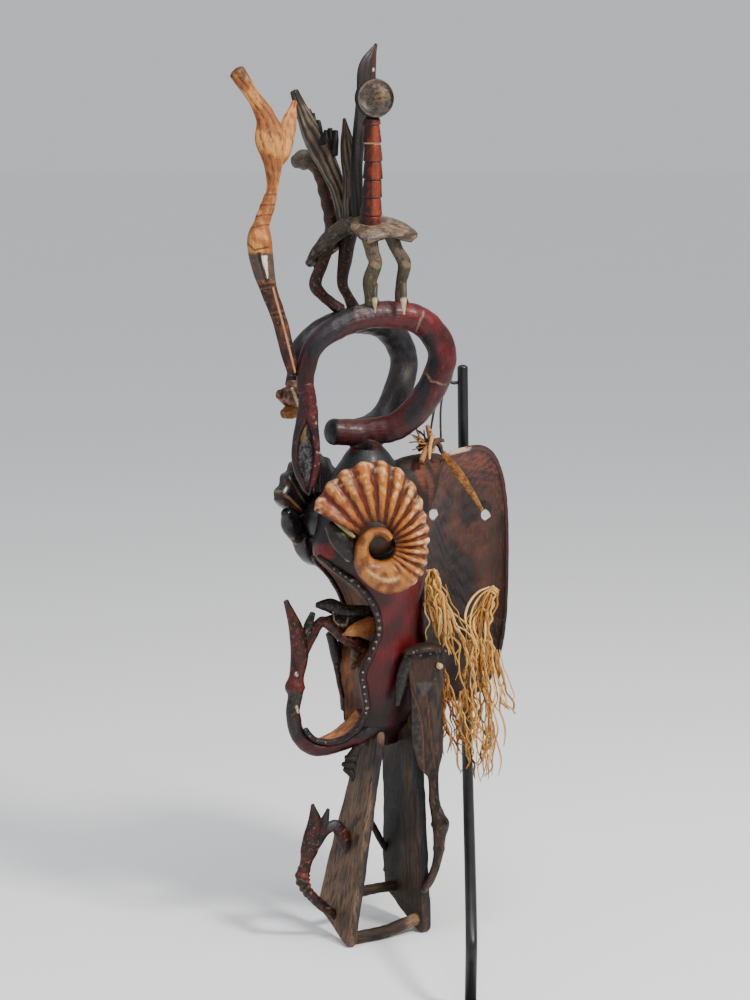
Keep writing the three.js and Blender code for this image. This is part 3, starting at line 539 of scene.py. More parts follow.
def throat_rings(t, angle, walked):
    """Turned rings round the throat: a cosine of the way along, only near the knob."""
    knob = np.exp(-(((walked - 64) / 16) ** 2))
    return 0.9 * np.cos(walked * 0.85) * knob + 0.5 * np.exp(-(((walked - 100) / 5) ** 2))


small_bird = [
    limb([
        [-46, 0, 22, 4, 5.5], [-66, 0, 38, 4.5, 5.5], [-86, 0, 60, 5, 6], [-91, 0, 75, 6.5, 8],
        [-87, 0, 90, 5, 7], [-81, 0, 110, 6, 11], [-76, 0, 133, 5, 9], [-78, 0, 155, 1.5, 2],
    ], rows=150, sides=32, relief=throat_rings, colour=bird_paint, worn=0.55),
    limb(
        [[-72, 0, 116, 5, 7], [-65, 0, 131, 4.5, 6], [-59, 0, 147, 1.5, 2]], colour=bird_paint, rows=50,
        sides=28
    ),
    limb([
        [-76, 0, 108, 5, 6], [-62, 0, 124, 5, 6], [-50, 0, 127, 5, 7], [-40, 0, 112, 6, 8],
        [-28, 0, 90, 6, 7],
    ], colour=bird_paint, rows=80, sides=30, worn=0.5),
]
dark_wood = finished_wood("worn_dark_carving", 0.5, "8f7a66", "1d1714", chips=0.5, coat=0.06)
put("small_board_bird", small_bird, dark_wood, "carved_arch", "board_bird")

# The head is carved from one block of light wood and painted crimson and black over a dark
# ground: a dome, two cheeks whose lips roll round the open mouth, and the hollow behind.
HEAD_RINGS = [
    [-11, 0, 548, 11, 13], [-10, 0, 531, 22, 27], [-9, 0, 516, 31, 38], [-6, 0, 492, 44, 54],
    [-4, 0, 465, 50, 61], [-3, 0, 430, 54, 68], [2, 0, 398, 48, 62], [3, 0, 353, 41, 53],
    [1, 0, 309, 39, 54], [1, 0, 266, 35, 51], [3, 0, 240, 28, 43], [6, 0, 222, 13, 22],
]
LIP = np.array([
    [429, -65], [424, -51.6], [417, -42.8], [413, -36.3], [409, -30.6], [405, -24.4], [399, -17.4],
    [392, -11.4], [385, -6.3], [378, -2.1], [367, 2.1], [360, 3.7], [350, 4.4], [343, 3.6], [336, 0.8],
    [329, -1.9], [318, -6.4], [310, -10.8], [301, -13.6], [292, -13.4], [287, -11.8], [279, -11],
    [271, -9.7], [264, -8.5], [256, -9.9], [247, -14.3], [239, -19.7],
])


def head_surface(heights):
    """The head ring by ring: an ellipse behind the lips, and across the mouth a shallow trough
    between the near lip, where the head's round meets the lip line, and the far lip."""
    t = np.linspace(0, 1, 1500)
    fine_path = curve(np.array(HEAD_RINGS, float)[:, :3], t)
    fine_size = curve(np.array(HEAD_RINGS, float)[:, 3:], t, 0.4)
    order = np.argsort(fine_path[:, 2])
    cx, ry, rx = (
        np.interp(heights, fine_path[order, 2], v[order])
        for v in (fine_path[:, 0], fine_size[:, 0], fine_size[:, 1])
    )
    line = np.interp(heights, LIP[::-1, 0], LIP[::-1, 1])
    swing = np.hypot(TURN_COS * rx, TURN_SIN * ry)
    across = np.arccos(np.clip((TURN_COS * cx - line) / swing, -1, 1))
    near = across - np.arctan2(TURN_SIN * ry, TURN_COS * rx)
    far = np.clip(near * 0.93 + 0.12, 0.02, 2.2)
    open_to = 1 - rise(heights, 421, 433)
    near, far = np.maximum(near, 0.05), np.maximum(far, 0.05)
    return cx, rx, ry, near, far, open_to


heights = np.concatenate([np.linspace(551, 434, 46), np.linspace(433, 405, 30), np.linspace(404, 213, 130)])
cx, rx, ry, near, far, open_to = head_surface(heights)
mouth_count, round_count = 60, 116
s = np.linspace(0, 1, mouth_count, endpoint=False)[None]
bow = (-near[:, None]) * (1 - s) + far[:, None] * s
front_x, front_y = cx[:, None] - rx[:, None] * np.cos(bow), ry[:, None] * np.sin(bow)
near_x, near_y = (cx - rx * np.cos(near))[:, None], (-ry * np.sin(near))[:, None]
far_x, far_y = (cx - rx * np.cos(far))[:, None], (ry * np.sin(far))[:, None]
chord_y = near_y * (1 - s) + far_y * s
across_gap = np.hypot(far_x - near_x, far_y - near_y)
trough = np.minimum(0.18 * across_gap, 13) * (4 * s * (1 - s)) ** 0.75
from_lip = np.minimum(s, 1 - s) * across_gap
grooves = 0.9 * np.cos(2 * np.pi * from_lip / 5.2) * (from_lip < 12)
chord_x = near_x * (1 - s) + far_x * s + trough + grooves * rise(s * across_gap, 0, 4)
open_now = open_to[:, None]
mouth_part = np.dstack(
    [front_x * (1 - open_now) + chord_x * open_now, front_y * (1 - open_now) + chord_y * open_now]
)
r = np.linspace(0, 1, round_count, endpoint=False)[None]
sweep = far[:, None] * (1 - r) + (2 * np.pi - near[:, None]) * r
back_part = np.dstack([cx[:, None] - rx[:, None] * np.cos(sweep), ry[:, None] * np.sin(sweep)])
head_flat = np.concatenate([mouth_part, back_part], axis=1)
head_rings = np.dstack([head_flat, heights[:, None] + 0 * head_flat[..., 0]])
head_rings[..., :2] *= (
    1 + 0.008 * ripple(head_rings.reshape(-1, 3), 26, 41).reshape(head_flat.shape[:2])
)[..., None]
head_skin = closed_skin(head_rings, [cx[0], 0, 553], [cx[-1], 0, 211])


def head_paint(skin):
    """Dark dome, crimson cheeks that blacken low and behind, and a tan lining between the lips."""
    points, spots = skin["points"], skin["spots"]
    z = points[:, 2]
    base = blend("6d1016", "4a0c12", rise(ripple(points, 50, 43), -0.6, 0.8))
    base = blend(base, "17090c", rise(ripple(points, 70, 47), 0.2, 1.0) * 0.5)
    base = blend(base, "12090b", rise(335 - z, 0, 80) * 0.8)
    base = blend(base, "141214", (1 - rise(spots[:, 1], 566, 600)) * 0.92 * rise(z, 395, 420))
    base = blend(base, "7d1d18", patch(spots, [(315, 547), (330, 545), (333, 556), (318, 562)], 4) * 0.7)
    base = blend(base, "242427", rise(z, 470, 495) * 0.95)
    base = blend(base, "6e1c1e", stroke(spots, [(348, 448), (378, 443)], 5) * (z > 520))
    lining = blend("b4713c", "7e4a2a", rise(ripple(points * [1, 1, 0.5], 30, 49), -0.5, 0.7))
    lining = blend(lining, "8d6b4c", rise(650 - spots[:, 1], 0, 40) * 0.6)
    lining = blend(
        lining, "5a3320", patch(spots, [(345, 587), (366, 600), (366, 618), (350, 620)], 9) * 0.5
    )
    lining = blend(lining, "c79a66", stroke(spots, [(320, 572), (335, 592), (349, 614)], 3, 5) * 0.6)
    for line in (
        [(330, 575), (352, 590), (366, 606), (371, 622), (370, 640)], [(352, 664), (355, 690), (358, 710)]
    ):
        lining = blend(lining, "5a3018", stroke(spots, line, 1.2, 2.5) * 0.7)
    lining = blend(
        lining, "4b3426",
        rise(spots[:, 1], 636, 656) * (1 - rise(spots[:, 1], 706, 722))
        * (0.6 + 0.3 * ripple(points * [1, 1, 0.5], 12, 51))
    )
    lining = blend(lining, "2c1811", (1 - rise(spots[:, 0] + 0.25 * (spots[:, 1] - 640), 330, 350)) * 0.5)
    return blend(base, lining, skin["inside"])


mouth_share = np.concatenate([np.ones(mouth_count), np.zeros(round_count)])
inner_rim = np.minimum(s, 1 - s)[0]
mouth_share[:mouth_count] = rise(inner_rim, 0.012, 0.03)
head_skin["inside"] = np.append((mouth_share[None] * rise(open_to, 0.25, 0.6)[:, None]).ravel(), [0, 0])
finish_skin(head_skin, head_paint, lambda skin: 0.12 + 0.25 * skin["inside"])

# Behind the face the block is dug out to a squarish oval hollow with a thin wall and two round
# eye holes, bored through. Its bare inside is dark with wear; a tan strip of bark is tied across.
TURN = np.radians(25)


def hollow_place(across, up, depth):
    """A point of the hollow: across its opening from the middle, up from its middle, and inward."""
    along = across + 84
    return np.stack([
        41 + np.cos(TURN) * along - np.sin(TURN) * depth, -35 + np.sin(TURN) * along + np.cos(TURN) * depth,
        391 + up,
    ], axis=-1)


def hollow_wall():
    """Rings of a squarish oval, |a|^2.9 + |b|^2.9 = 1, swelling out over the back of the wall to
    the rim and in again over its inside, deeper towards the chin."""
    angle = np.linspace(0, 2 * np.pi, 180, endpoint=False)
    c, d = np.cos(angle), np.sin(angle)
    across = np.sign(c) * np.abs(c) ** (2 / 2.9)
    up = np.sign(d) * np.abs(d) ** (2 / 2.9)
    share = np.sin(np.linspace(0.03, 1.55, 44))
    swell = np.sin(np.arccos(share ** (1 / 0.55))) ** 1.3
    scale = np.concatenate([share, [1.0, 0.995, 0.982, 0.968], share[::-1] * 0.96])
    depth = np.concatenate([34 * swell, [-0.2, -1.4, -1.4, -0.2], 27 * swell[::-1]])
    width, height = 87.5, 142.5
    a, b = across[None] * scale[:, None] * width, up[None] * scale[:, None] * height
    deep = depth[:, None] * np.where(depth[:, None] > 0, 1 - 0.3 * b / height, 1)
    inner = (np.arange(len(scale)) >= 48)[:, None]
    flat = hollow_place(a, b, deep)
    nicks = ripple(flat.reshape(-1, 3), 12, 53).reshape(a.shape)
    deep = deep + np.where(inner, 0.9 * nicks * (depth[:, None] > 3), 0.3 * nicks)
    rings = hollow_place(a, b, deep)
    skin = closed_skin(rings, hollow_place(0.0, 0.0, 34.2), hollow_place(0.0, 0.0, 27.1))
    skin["inner"] = np.append((inner + 0 * a).ravel(), [0, 1])
    skin["rim"] = np.append(((np.abs(np.arange(len(scale)) - 46.5) < 3)[:, None] + 0 * a).ravel(), [0, 0])
    return skin


def hollow_paint(skin):
    """Crimson rubbed to orange on the near rim, black-brown inside, reddish tool marks at the top, a
    painted shadow of the bark strap above the far eye hole and a pale line along the top rim."""
    points, spots = skin["points"], skin["spots"]
    base = mottled("581a1b", "2c1416", "7a2a22", 24, 55)(skin)
    inside = blend("4f3024", "2b1d18", rise(ripple(points, 50, 57), -0.6, 0.7))
    inside = blend(inside, "7a4830", rise(ripple(points * [1, 1, 2.5], 26, 58), 0.3, 1.0) * 0.35)
    inside = blend(inside, "1b1412", stroke(spots, [(440, 560), (455, 580), (450, 640)], 26, 22) * 0.75)
    inside = blend(
        inside, "8d4224",
        rise(498 - spots[:, 1], 0, 34) * 0.75 * rise(ripple(points * [1, 1, 2], 11, 59), -0.4, 0.5)
    )
    # Painted shadow: the dark mark cast by the bark strap on the wall above the far eye hole.
    inside = blend(inside, "12100f", stroke(spots, [(481, 504), (487, 508)], 9) * 0.9)
    base = blend(base, inside, skin["inner"])
    rim = blend("4b2119", "2a1c19", rise(spots[:, 1], 500, 620))
    base = blend(base, rim, skin["rim"])
    return blend(base, "cdb596", stroke(spots, [(447, 452), (467, 450)], 5) * skin["rim"])


head_paint_wood = finished_wood(
    "crimson_head_paint", 0.42, "6b5142", "130a0b", fibre=0.38, speckle=0.3, chips=0.3, coat=0.1, relief=0.8
)
wall_skin = finish_skin(hollow_wall(), hollow_paint, 0.4)
wall = put("mask_hollow", [wall_skin], head_paint_wood, "carved_head", "mask_head")


def bore_eye_holes(piece):
    """Cuts the two round eye holes through a piece, along a line from the drawing's eye."""
    t = np.linspace(0, 2 * np.pi, 28, endpoint=False)
    for right, down, start in ((433.4, 513.8, -32), (485.3, 514.5, 20)):
        circle = list(zip(right + 4.1 * np.cos(t), down + 4.1 * np.sin(t)))
        bore = np.array([[from_sheet(r, d, behind) for r, d in circle] for behind in (start, 150)])
        plug = closed_skin(
            bore, np.array(from_sheet(right, down, start)), np.array(from_sheet(right, down, 150))
        )
        mesh = bpy.data.meshes.new("eye_bore")
        faces = plug["quads"].tolist() + plug["ends"].tolist()
        mesh.from_pydata(((plug["points"] + FOOT_TO_HEAD) / 1000).tolist(), [], faces)
        borer = bpy.data.objects.new("eye_bore", mesh)
        bpy.context.scene.collection.objects.link(borer)
        bored = piece.modifiers.new("eye hole", "BOOLEAN")
        bored.operation, bored.object, bored.solver = "DIFFERENCE", borer, "EXACT"
    drilled = bpy.data.meshes.new_from_object(piece.evaluated_get(bpy.context.evaluated_depsgraph_get()))
    piece.modifiers.clear()
    piece.data = drilled
    for spare in [thing for thing in bpy.data.objects if thing.name.startswith("eye_bore")]:
        bpy.data.objects.remove(spare)


bore_eye_holes(wall)

# The lips end in a dark rolled band set with pale studs; from the chin a hook runs forward, turns
# up as a knobbed neck and ends as a small bird's head whose lower bill meets the mouth again.


def at_lip(side, height, out=0.0):
    """The lip on a side at a height: the head's round where its lip line crosses it, pushed out."""
    height = np.atleast_1d(np.asarray(height, float))
    cx, rx, ry, near, far, _ = head_surface(height)
    turn = near if side < 0 else far
    return np.stack([cx - (rx + out) * np.cos(turn), side * (ry + out) * np.sin(turn), height], axis=-1)


HOOK_LINE = [
    [-31, -25, 247], [-36, -23, 239], [-43, -21, 233], [-52, -18, 228], [-61, -15, 226], [-69, -13, 226],
    [-78, -11, 229], [-86, -9, 235], [-91, -8, 242]
]


def lip_paint(skin):
    """Black with a crimson bloom and a worn, lighter crest."""
    return mottled("1b1213", "2e1113", "4a342c", 10, 61)(skin)


near_path = np.vstack([at_lip(-1, np.linspace(428, 258, 34), 1.0), HOOK_LINE])
near_band = limb(
    np.hstack(
        [near_path, np.interp(np.arange(len(near_path)), [0, 3, 30, 42], [2.2, 4.2, 4.4, 3.0])[:, None]]
    ),
    rows=230, sides=18, colour=lip_paint, worn=0.5,
)
far_path = at_lip(1, np.linspace(424, 262, 26), 0.5)
far_band = limb(
    np.hstack([far_path, np.interp(np.arange(26), [0, 3, 20, 25], [1.8, 3.0, 3.4, 2.6])[:, None]]),
    rows=140, sides=16, colour=mottled("33201c", "1d1717", "6d5547", 12, 63),
)
STUDS = [
    (417, 1.3), (413, 1.3), (409, 1.5), (405, 2.1), (399, 1.6), (392, 1.6), (385, 1.6), (378, 1.7),
    (367, 2.0), (360, 1.9), (351, 2.5), (344, 1.6), (336, 1.7), (329, 1.5), (318, 1.7), (303, 1.4),
    (295, 1.4), (287, 1.7), (279, 1.5), (271, 1.8), (263, 2.1), (257, 1.5),
]
toward = np.array([-0.494, -0.856, 0.157])


def stud(middle, radius, seed):
    """A small rounded stud: middle + radius * (sin(a) cos(b), sin(a) sin(b), cos(a)), a little flat."""
    a = np.linspace(0.3, np.pi - 0.3, 7)[:, None]
    b = np.linspace(0, 2 * np.pi, 12, endpoint=False)[None]
    ball = np.dstack([np.sin(a) * np.cos(b), np.sin(a) * np.sin(b), np.cos(a) + 0 * b]) * radius
    skin = closed_skin(middle + ball, middle + [0, 0, radius], middle - [0, 0, radius])
    return finish_skin(skin, mottled("8f8474", "5f554b", "c6bca8", 3, seed), 0.0)


studs = [
    stud(at_lip(-1, height, 1.0)[0] + toward * 3.7, radius * 0.95, 100 + k)
    for k, (height, radius) in enumerate(STUDS)
]
studs += [stud(np.array(spot) + toward * 2.7, 0.95, 130 + k) for k, spot in enumerate(HOOK_LINE[1:])]


def hook_paint(skin):
    """Black at the chin, bright orange-tan in the trough of the hook, dark crimson below."""
    points, spots = skin["points"], skin["spots"]
    base = blend("4d0f14", "1b0a0c", rise(ripple(points, 30, 65), -0.4, 0.7))
    tan = blend("d08c48", "a8652e", rise(ripple(points, 9, 67), -0.3, 0.5))
    trough = patch(
        spots,
        [(308, 726), (322, 731), (338, 722), (352, 704), (358, 716), (350, 730), (334, 739), (314, 736)]
    )
    base = blend(base, tan, trough * 0.95)
    return blend(base, "15171c", patch(spots, [(366, 700), (405, 694), (402, 724), (362, 738)], 6) * 0.7)


def neck_paint(skin):
    """Olive-black neck, a red-orange knob with pale spots, and a reddish speckled long bill."""
    spots = skin["spots"]
    base = mottled("2f2c24", "1b1815", "4a4435", 12, 69)(skin)
    reddish = mottled("4f1c14", "2e110d", "6e3a28", 14, 71)(skin)
    base = blend(base, reddish, rise(682 - spots[:, 1], 0, 6))
    base = blend(base, "641e12", patch(spots, [(287, 680), (303, 680), (304, 690), (288, 691)], 3) * 0.8)
    base = blend(base, "f0e2cc", stroke(spots, [(296, 673), (296.5, 675.5)], 0.9) * 0.8)
    base = blend(base, "d9c4a2", stroke(spots, [(296.4, 706), (299, 717)], 1.0) * 0.85)
    base = blend(
        base, "d8ccb4",
        np.maximum(
            stroke(spots, [(300, 720), (300.5, 720.5)], 1.2),
            stroke(spots, [(304, 730), (304.5, 730.5)], 1.2)
        ) * 0.8
    )
    return blend(base, "3c2a22", rise(614 - spots[:, 1], 0, 8) * 0.85)


def knob_ring(t, angle, walked):
    """A ring round the knob of the neck."""
    return 0.8 * np.exp(-(((walked - 66) / 5) ** 2))


def hook_trough(t, angle, walked):
    """The trough along the upper side of the hook: a hollow that fades at both its ends."""
    upper = np.clip(-np.sin(angle), 0, 1)
    return -5.5 * upper**2 * rise(t, 0.12, 0.3) * (1 - rise(t, 0.7, 0.95))


hook = limb([
    [12, 0, 252, 26, 20], [-20, 0, 233, 24, 15], [-50, 0, 222, 19, 11.5], [-76, 0, 220, 13, 10.5],
    [-95, 0, 235, 8.5, 8.5], [-102, 0, 260, 7, 7.5],
], rows=110, sides=48, relief=hook_trough, colour=hook_paint, worn=0.35)
neck = limb([
    [-88, 0, 226, 9, 8], [-97, 0, 238, 8, 8], [-102, 0, 260, 7, 7.5], [-99, 0, 279, 7.5, 8.5],
    [-99, 0, 288, 9.5, 10.5], [-97, 0, 300, 7.5, 8.5], [-93, 0, 325, 7.5, 10.5], [-98, 0, 352, 5.5, 8],
    [-109, 0, 383, 2, 3],
], rows=150, sides=32, colour=neck_paint, worn=0.5, relief=knob_ring)
lower_bill = limb([
    [-92, 0, 315, 5, 5], [-81, 0, 337, 5, 6], [-66, 0, 356, 5, 6], [-51, 0, 347, 5, 6.5],
    [-36, 0, 335, 6, 7.5], [-12, 0, 322, 7, 8],
], rows=110, sides=30, colour=mottled("5a241b", "301713", "7f5540", 12, 73), worn=0.4)
bill_crest = limb(
    [[-84, 0, 336, 3, 3], [-83, 0, 352, 4, 5], [-77, 0, 366, 4, 3]],
    rows=40, sides=26, colour=mottled("2b2624", "1b1918", "827a70", 8, 75),
)


def mouth_leaf_paint(skin):
    """Near-black with a thin cream loop round its knob."""
    spots = skin["spots"]
    base = mottled("2a2422", "191717", "5d544c", 9, 77)(skin)
    loop = [(333, 612), (334, 621), (339, 626), (346, 625), (348, 618)]
    return blend(base, "b9a887", stroke(spots, loop, 0.9, 0.6) * 0.8)


def tooth_paint(skin):
    """Bare tan wood at the tip, striped grey and brown folds behind."""
    spots = skin["spots"]
    base = blend("c28a52", "97613a", rise(spots[:, 0], 346, 366))
    return blend(base, "4d3c33", (np.sin(spots[:, 1] * 1.3) > 0.4) * rise(spots[:, 1], 636, 642) * 0.8)


mouth_pieces = [
    limb(
        [[-47, -12, 342, 1, 1], [-34, -12, 345, 5, 7], [-12, -10, 348, 9, 10]], rows=60, sides=32,
        colour=tooth_paint
    ),
    limb([
        [-68, 8, 373, 2, 3], [-52, 7, 371, 5, 8], [-35, 5, 363, 7, 8], [-8, 0, 360, 8, 8],
    ], rows=70, sides=32, colour=mouth_leaf_paint, worn=0.4),
    limb(
        [[-60, 6, 354, 6, 6], [-46, 5, 351, 9, 11], [-20, 2, 348, 9, 12]], rows=60, sides=32,
        colour=mouth_leaf_paint
    ),
    limb([
        [*from_sheet(330, 634, 8), 5, 5], [*from_sheet(336, 655, 14), 6, 6],
        [*from_sheet(343, 682, 20), 6, 6], [*from_sheet(346, 708, 22), 6, 6],
    ], rows=90, sides=32, colour=mottled("2b201b", "1a1514", "4d3a2e", 9, 79)),
    limb([
        [*from_sheet(352, 640, -12), 2, 5], [*from_sheet(356, 652, -12), 3, 6],
        [*from_sheet(352, 668, -10), 2, 4],
    ], rows=60, sides=32, colour=mottled("6d5a49", "3e3029", "8d7256", 4, 80)),
]


def cheek_paint(skin):
    """The cheek behind the ear: rubbed brown like the hollow, with a red-orange band down it and
    painted shade along the ear's rim.
    """
    points, spots = skin["points"], skin["spots"]
    base = blend("5f3b28", "33201a", rise(ripple(points * [1, 1, 0.4], 14, 81), -0.4, 0.5))
    base = blend(base, "7f3c20", patch(spots, [(417, 466), (421, 466), (424, 500), (420, 503)], 4) * 0.8)
    # Painted shade: a dark band along the rim of the ear, where it stands before the cheek.
    base = blend(
        base, "141112", stroke(spots, [(398, 468), (412, 480), (424, 500), (427, 520)], 5, 5) * 0.9
    )
    return blend(base, "34302e", stroke(spots, [(404, 463), (416, 455), (440, 452)], 5, 5) * 0.7)


def behind_hollow(points):
    """Moves what would stand in the hollow back behind its wall: inside the squarish oval, the
    depth is at least that of the wall at the same place."""
    along = (points[:, 0] - 41) * np.cos(TURN) + (points[:, 1] + 35) * np.sin(TURN)
    depth = (points[:, 1] + 35) * np.cos(TURN) - (points[:, 0] - 41) * np.sin(TURN)
    a, b = (along - 84) / 84, (points[:, 2] - 391) / 139
    share = np.clip((np.abs(a) ** 2.9 + np.abs(b) ** 2.9) ** (1 / 2.9), 0, 1)
    wall_depth = 27 * (1 - 0.3 * b) * np.maximum(1 - share ** (2 / 0.55), 0) ** 0.65
    deeper = np.where(share < 1, np.maximum(depth, wall_depth + 3.0), depth)
    return hollow_place(along - 84, points[:, 2] - 391, deeper)


cheek = limb([
    [0, 2, 486, 40, 32], [44, -10, 490, 28, 40], [74, 0, 488, 24, 40], [97, 14, 480, 14, 34],
], rows=90, sides=70, colour=cheek_paint)
for skin in (cheek, head_skin):
    skin["points"] = behind_hollow(skin["points"])
head_parts = [head_skin, hook, neck, lower_bill, bill_crest, near_band, far_band] + mouth_pieces + studs
put("mask_face", head_parts, head_paint_wood, "carved_head", "mask_head")
rubbed_brown = finished_wood("rubbed_brown_wall", 0.6, "8a6a4c", "1c1310", fibre=0.4, chips=0.35)
bore_eye_holes(put("mask_cheek", [cheek], rubbed_brown, "carved_head", "mask_head"))

# Each ear is one carved volute: a smooth band curls round the ear hole and opens into a fan of
# ribs. The near one is ochre, its crests rubbed cream and partly lit by a painted highlight; the far
# one is black with pale veins.
EAR_ROUND = np.radians(
    [45, 76, 119, 163, 201, 253, 280, 306, 329, 355, 389, 401, 424, 440, 456, 484, 509.5]
)
EAR_REACH = np.array([17, 20.6, 23, 24, 28, 40, 49, 51, 50, 47, 52.5, 57.5, 72, 83, 87.5, 83.5, 76.7])


def ear_place(side, a, b, c):
    """A point of an ear's own plane: back along the ear, up it, and out of it."""
    splay = np.radians(22.4)
    out = 81 + a * np.sin(splay) + c * np.cos(splay)
    return np.stack([-25 + a * np.cos(splay) - c * np.sin(splay), side * out, 455 + b], axis=-1)


def ear_volute(side, size, count, depth):
    """The volute: at each angle round the ear hole a section from the inner edge, over the band
    or the ribs, to the scalloped rim and back underneath; ribs are cosines of the angle."""
    turn = np.linspace(EAR_ROUND[0], EAR_ROUND[-1], count)
    rim = np.interp(turn, EAR_ROUND, EAR_REACH)
    rim = np.convolve(np.pad(rim, 9, "edge"), np.ones(19) / 19, "valid")
    inner = np.interp(turn - 2 * np.pi, EAR_ROUND, EAR_REACH, left=0)
    hole = np.interp(turn, np.radians([45, 90, 200, 260, 330, 405]), [9, 12, 12, 14, 16, 15])
    inner = np.where(turn > EAR_ROUND[0] + 2 * np.pi, np.maximum(inner - 3, 12), hole)
    inner = np.convolve(np.pad(inner, 9, "edge"), np.ones(19) / 19, "valid")
    ribbed = rise(turn, np.radians(292), np.radians(330))
    ribs = np.cos((turn - np.radians(300)) * 15.5 / np.radians(209.5) * 2 * np.pi)
    rim = rim * (1 + 0.016 * ribbed * ribs)
    top = np.linspace(0, 1, 46)[None]
    fan = rise(turn, np.radians(285), np.radians(400))[:, None]
    band_height = 3 + 8.5 * np.sin(np.pi * np.clip(top, 0.0, 1)) ** 0.6
    fan_height = -2.5 + 10 * np.sin(np.pi * np.clip(top * 0.9 + 0.02, 0, 1)) ** 0.9
    height = band_height * (1 - fan) + fan_height * fan
    folds = np.sign(ribs + 0.35) * np.abs(ribs + 0.35) ** 0.7
    height = height + depth * (ribbed * folds)[:, None] * rise(top, 0.02, 0.3)
    ridge = np.exp(
        -(((turn - np.radians(262)) / 0.35) ** 2)
    )[:, None] * np.exp(-(((top - 0.5) / 0.08) ** 2))
    height = height + 1.0 * ridge
    radius = inner[:, None] + (rim - inner)[:, None] * top
    lower_radius = np.stack([rim + 0.2, rim - 0.6, rim * 0.8 + inner * 0.2, inner + 3, inner + 0.2], axis=1)
    lower_height = np.tile(np.array([-6.0, -10, -12, -12, -9]), (count, 1))
    radius, height = np.hstack([radius, lower_radius]) * size, np.hstack([height, lower_height])
    across, up = radius * np.cos(turn)[:, None], radius * np.sin(turn)[:, None]
    a, b = -13.6 + 1.05 * across, -8.7 + 1.043 * up
    flat = np.dstack([a, b, height])
    height = height + 0.35 * ripple(flat.reshape(-1, 3), 9, 83).reshape(height.shape)
    rings = ear_place(side, a, b, height)
    ends = [rings[0].mean(axis=0), rings[-1].mean(axis=0)]
    points_across = radius.shape[1]
    across_grain = np.stack([radius, np.repeat(turn[:, None] * 30, points_across, 1), height], axis=-1)
    skin = closed_skin(rings, ends[0], ends[1], np.vstack([across_grain.reshape(-1, 3), [[0, 0, 0]] * 2]))
    tops = np.hstack([np.repeat(top, count, 0), np.full((count, 5), 1.05)])
    for name, values in (
        ("share", tops),
        ("rib", np.repeat((ribbed * ribs)[:, None], points_across, 1)),
        ("ribbed", np.repeat(ribbed[:, None], points_across, 1)),
        ("round", np.repeat(np.degrees(turn)[:, None], points_across, 1)),
    ):
        skin[name] = np.append(values.ravel(), [0, 0])
    return skin


def ochre_ear_paint(skin):
    """Tan band with a painted highlight along its ridge; ribs with cream crests, rubbed and partly a
    painted highlight, and orange-brown valleys, redder to the left, darkening with painted shade
    towards the hub; speckled near the rim."""
    points, share, around = skin["points"], skin["share"], skin["round"]
    band = blend("b27838", "7f4a22", rise(ripple(points, 18, 85), -0.4, 0.7))
    # Painted highlight: a cream line along the crest of the band.
    band = blend(
        band, "e6bd84",
        np.exp(-(((share - 0.52) / 0.07) ** 2)) * rise(around, 220, 250) * (1 - rise(around, 290, 312))
        * 0.7
    )
    band = blend(band, "5a3420", rise(share, 0.84, 1.0) * 0.6)
    valley = blend("5f2c0f", "66220c", rise(around, 440, 490))
    crest = blend("b8732f", "a5541b", rise(around, 455, 500) * rise(ripple(points, 20, 86), -0.5, 0.3))
    ribs = blend(valley, crest, rise(skin["rib"] + 0.5 * ripple(points * [1, 1, 0.6], 8, 87), -0.6, 0.35))
    # Cream on the rib crests: rubbed wear, and in part a painted highlight.
    pale = rise(skin["rib"] + 0.8 * ripple(points, 9, 88), 0.6, 1.3) * rise(share, 0.35, 0.7)
    ribs = blend(ribs, "e4c795", pale * (1 - 0.5 * rise(around, 425, 470)) * 0.75)
    # Painted shade: the ribs darken towards the hub of the ear.
    ribs = blend(ribs, "3a1d0f", (1 - rise(share, 0.02, 0.4)) * rise(around, 330, 400) * 0.9)
    ribs = blend(ribs, "e8cfa6", rise(share, 0.78, 0.97) * rise(ripple(points, 9, 89), 0.1, 0.8) * 0.55)
    ribs = blend(ribs, "7a3a20", rise(share, 0.985, 1.03) * 0.6)
    return blend(band, ribs, skin["ribbed"])


def black_ear_paint(skin):
    """Glossy black with cream and brown veins along its ribs."""
    points = skin["points"]
    base = blend("17171a", "2a2422", rise(ripple(points, 20, 91), -0.2, 0.6))
    veins = rise(skin["rib"], 0.72, 0.98) * rise(ripple(points, 26, 93), -0.15, 0.35)
    base = blend(base, "a58a66", veins * 0.75)
    return blend(base, "4b2c1f", rise(skin["share"], 0.9, 1.0) * rise(ripple(points, 14, 95), 0, 0.5) * 0.7)


def black_ear_paint_plain(skin):
    """The same black on the ear's root and lobe, with a few brown and cream streaks."""
    points = skin["points"]
    base = blend("141416", "262120", rise(ripple(points, 22, 96), -0.2, 0.6))
    return blend(base, "8b7152", rise(ripple(points * [1.6, 1.6, 0.7], 15, 98), 0.78, 0.95) * 0.7)


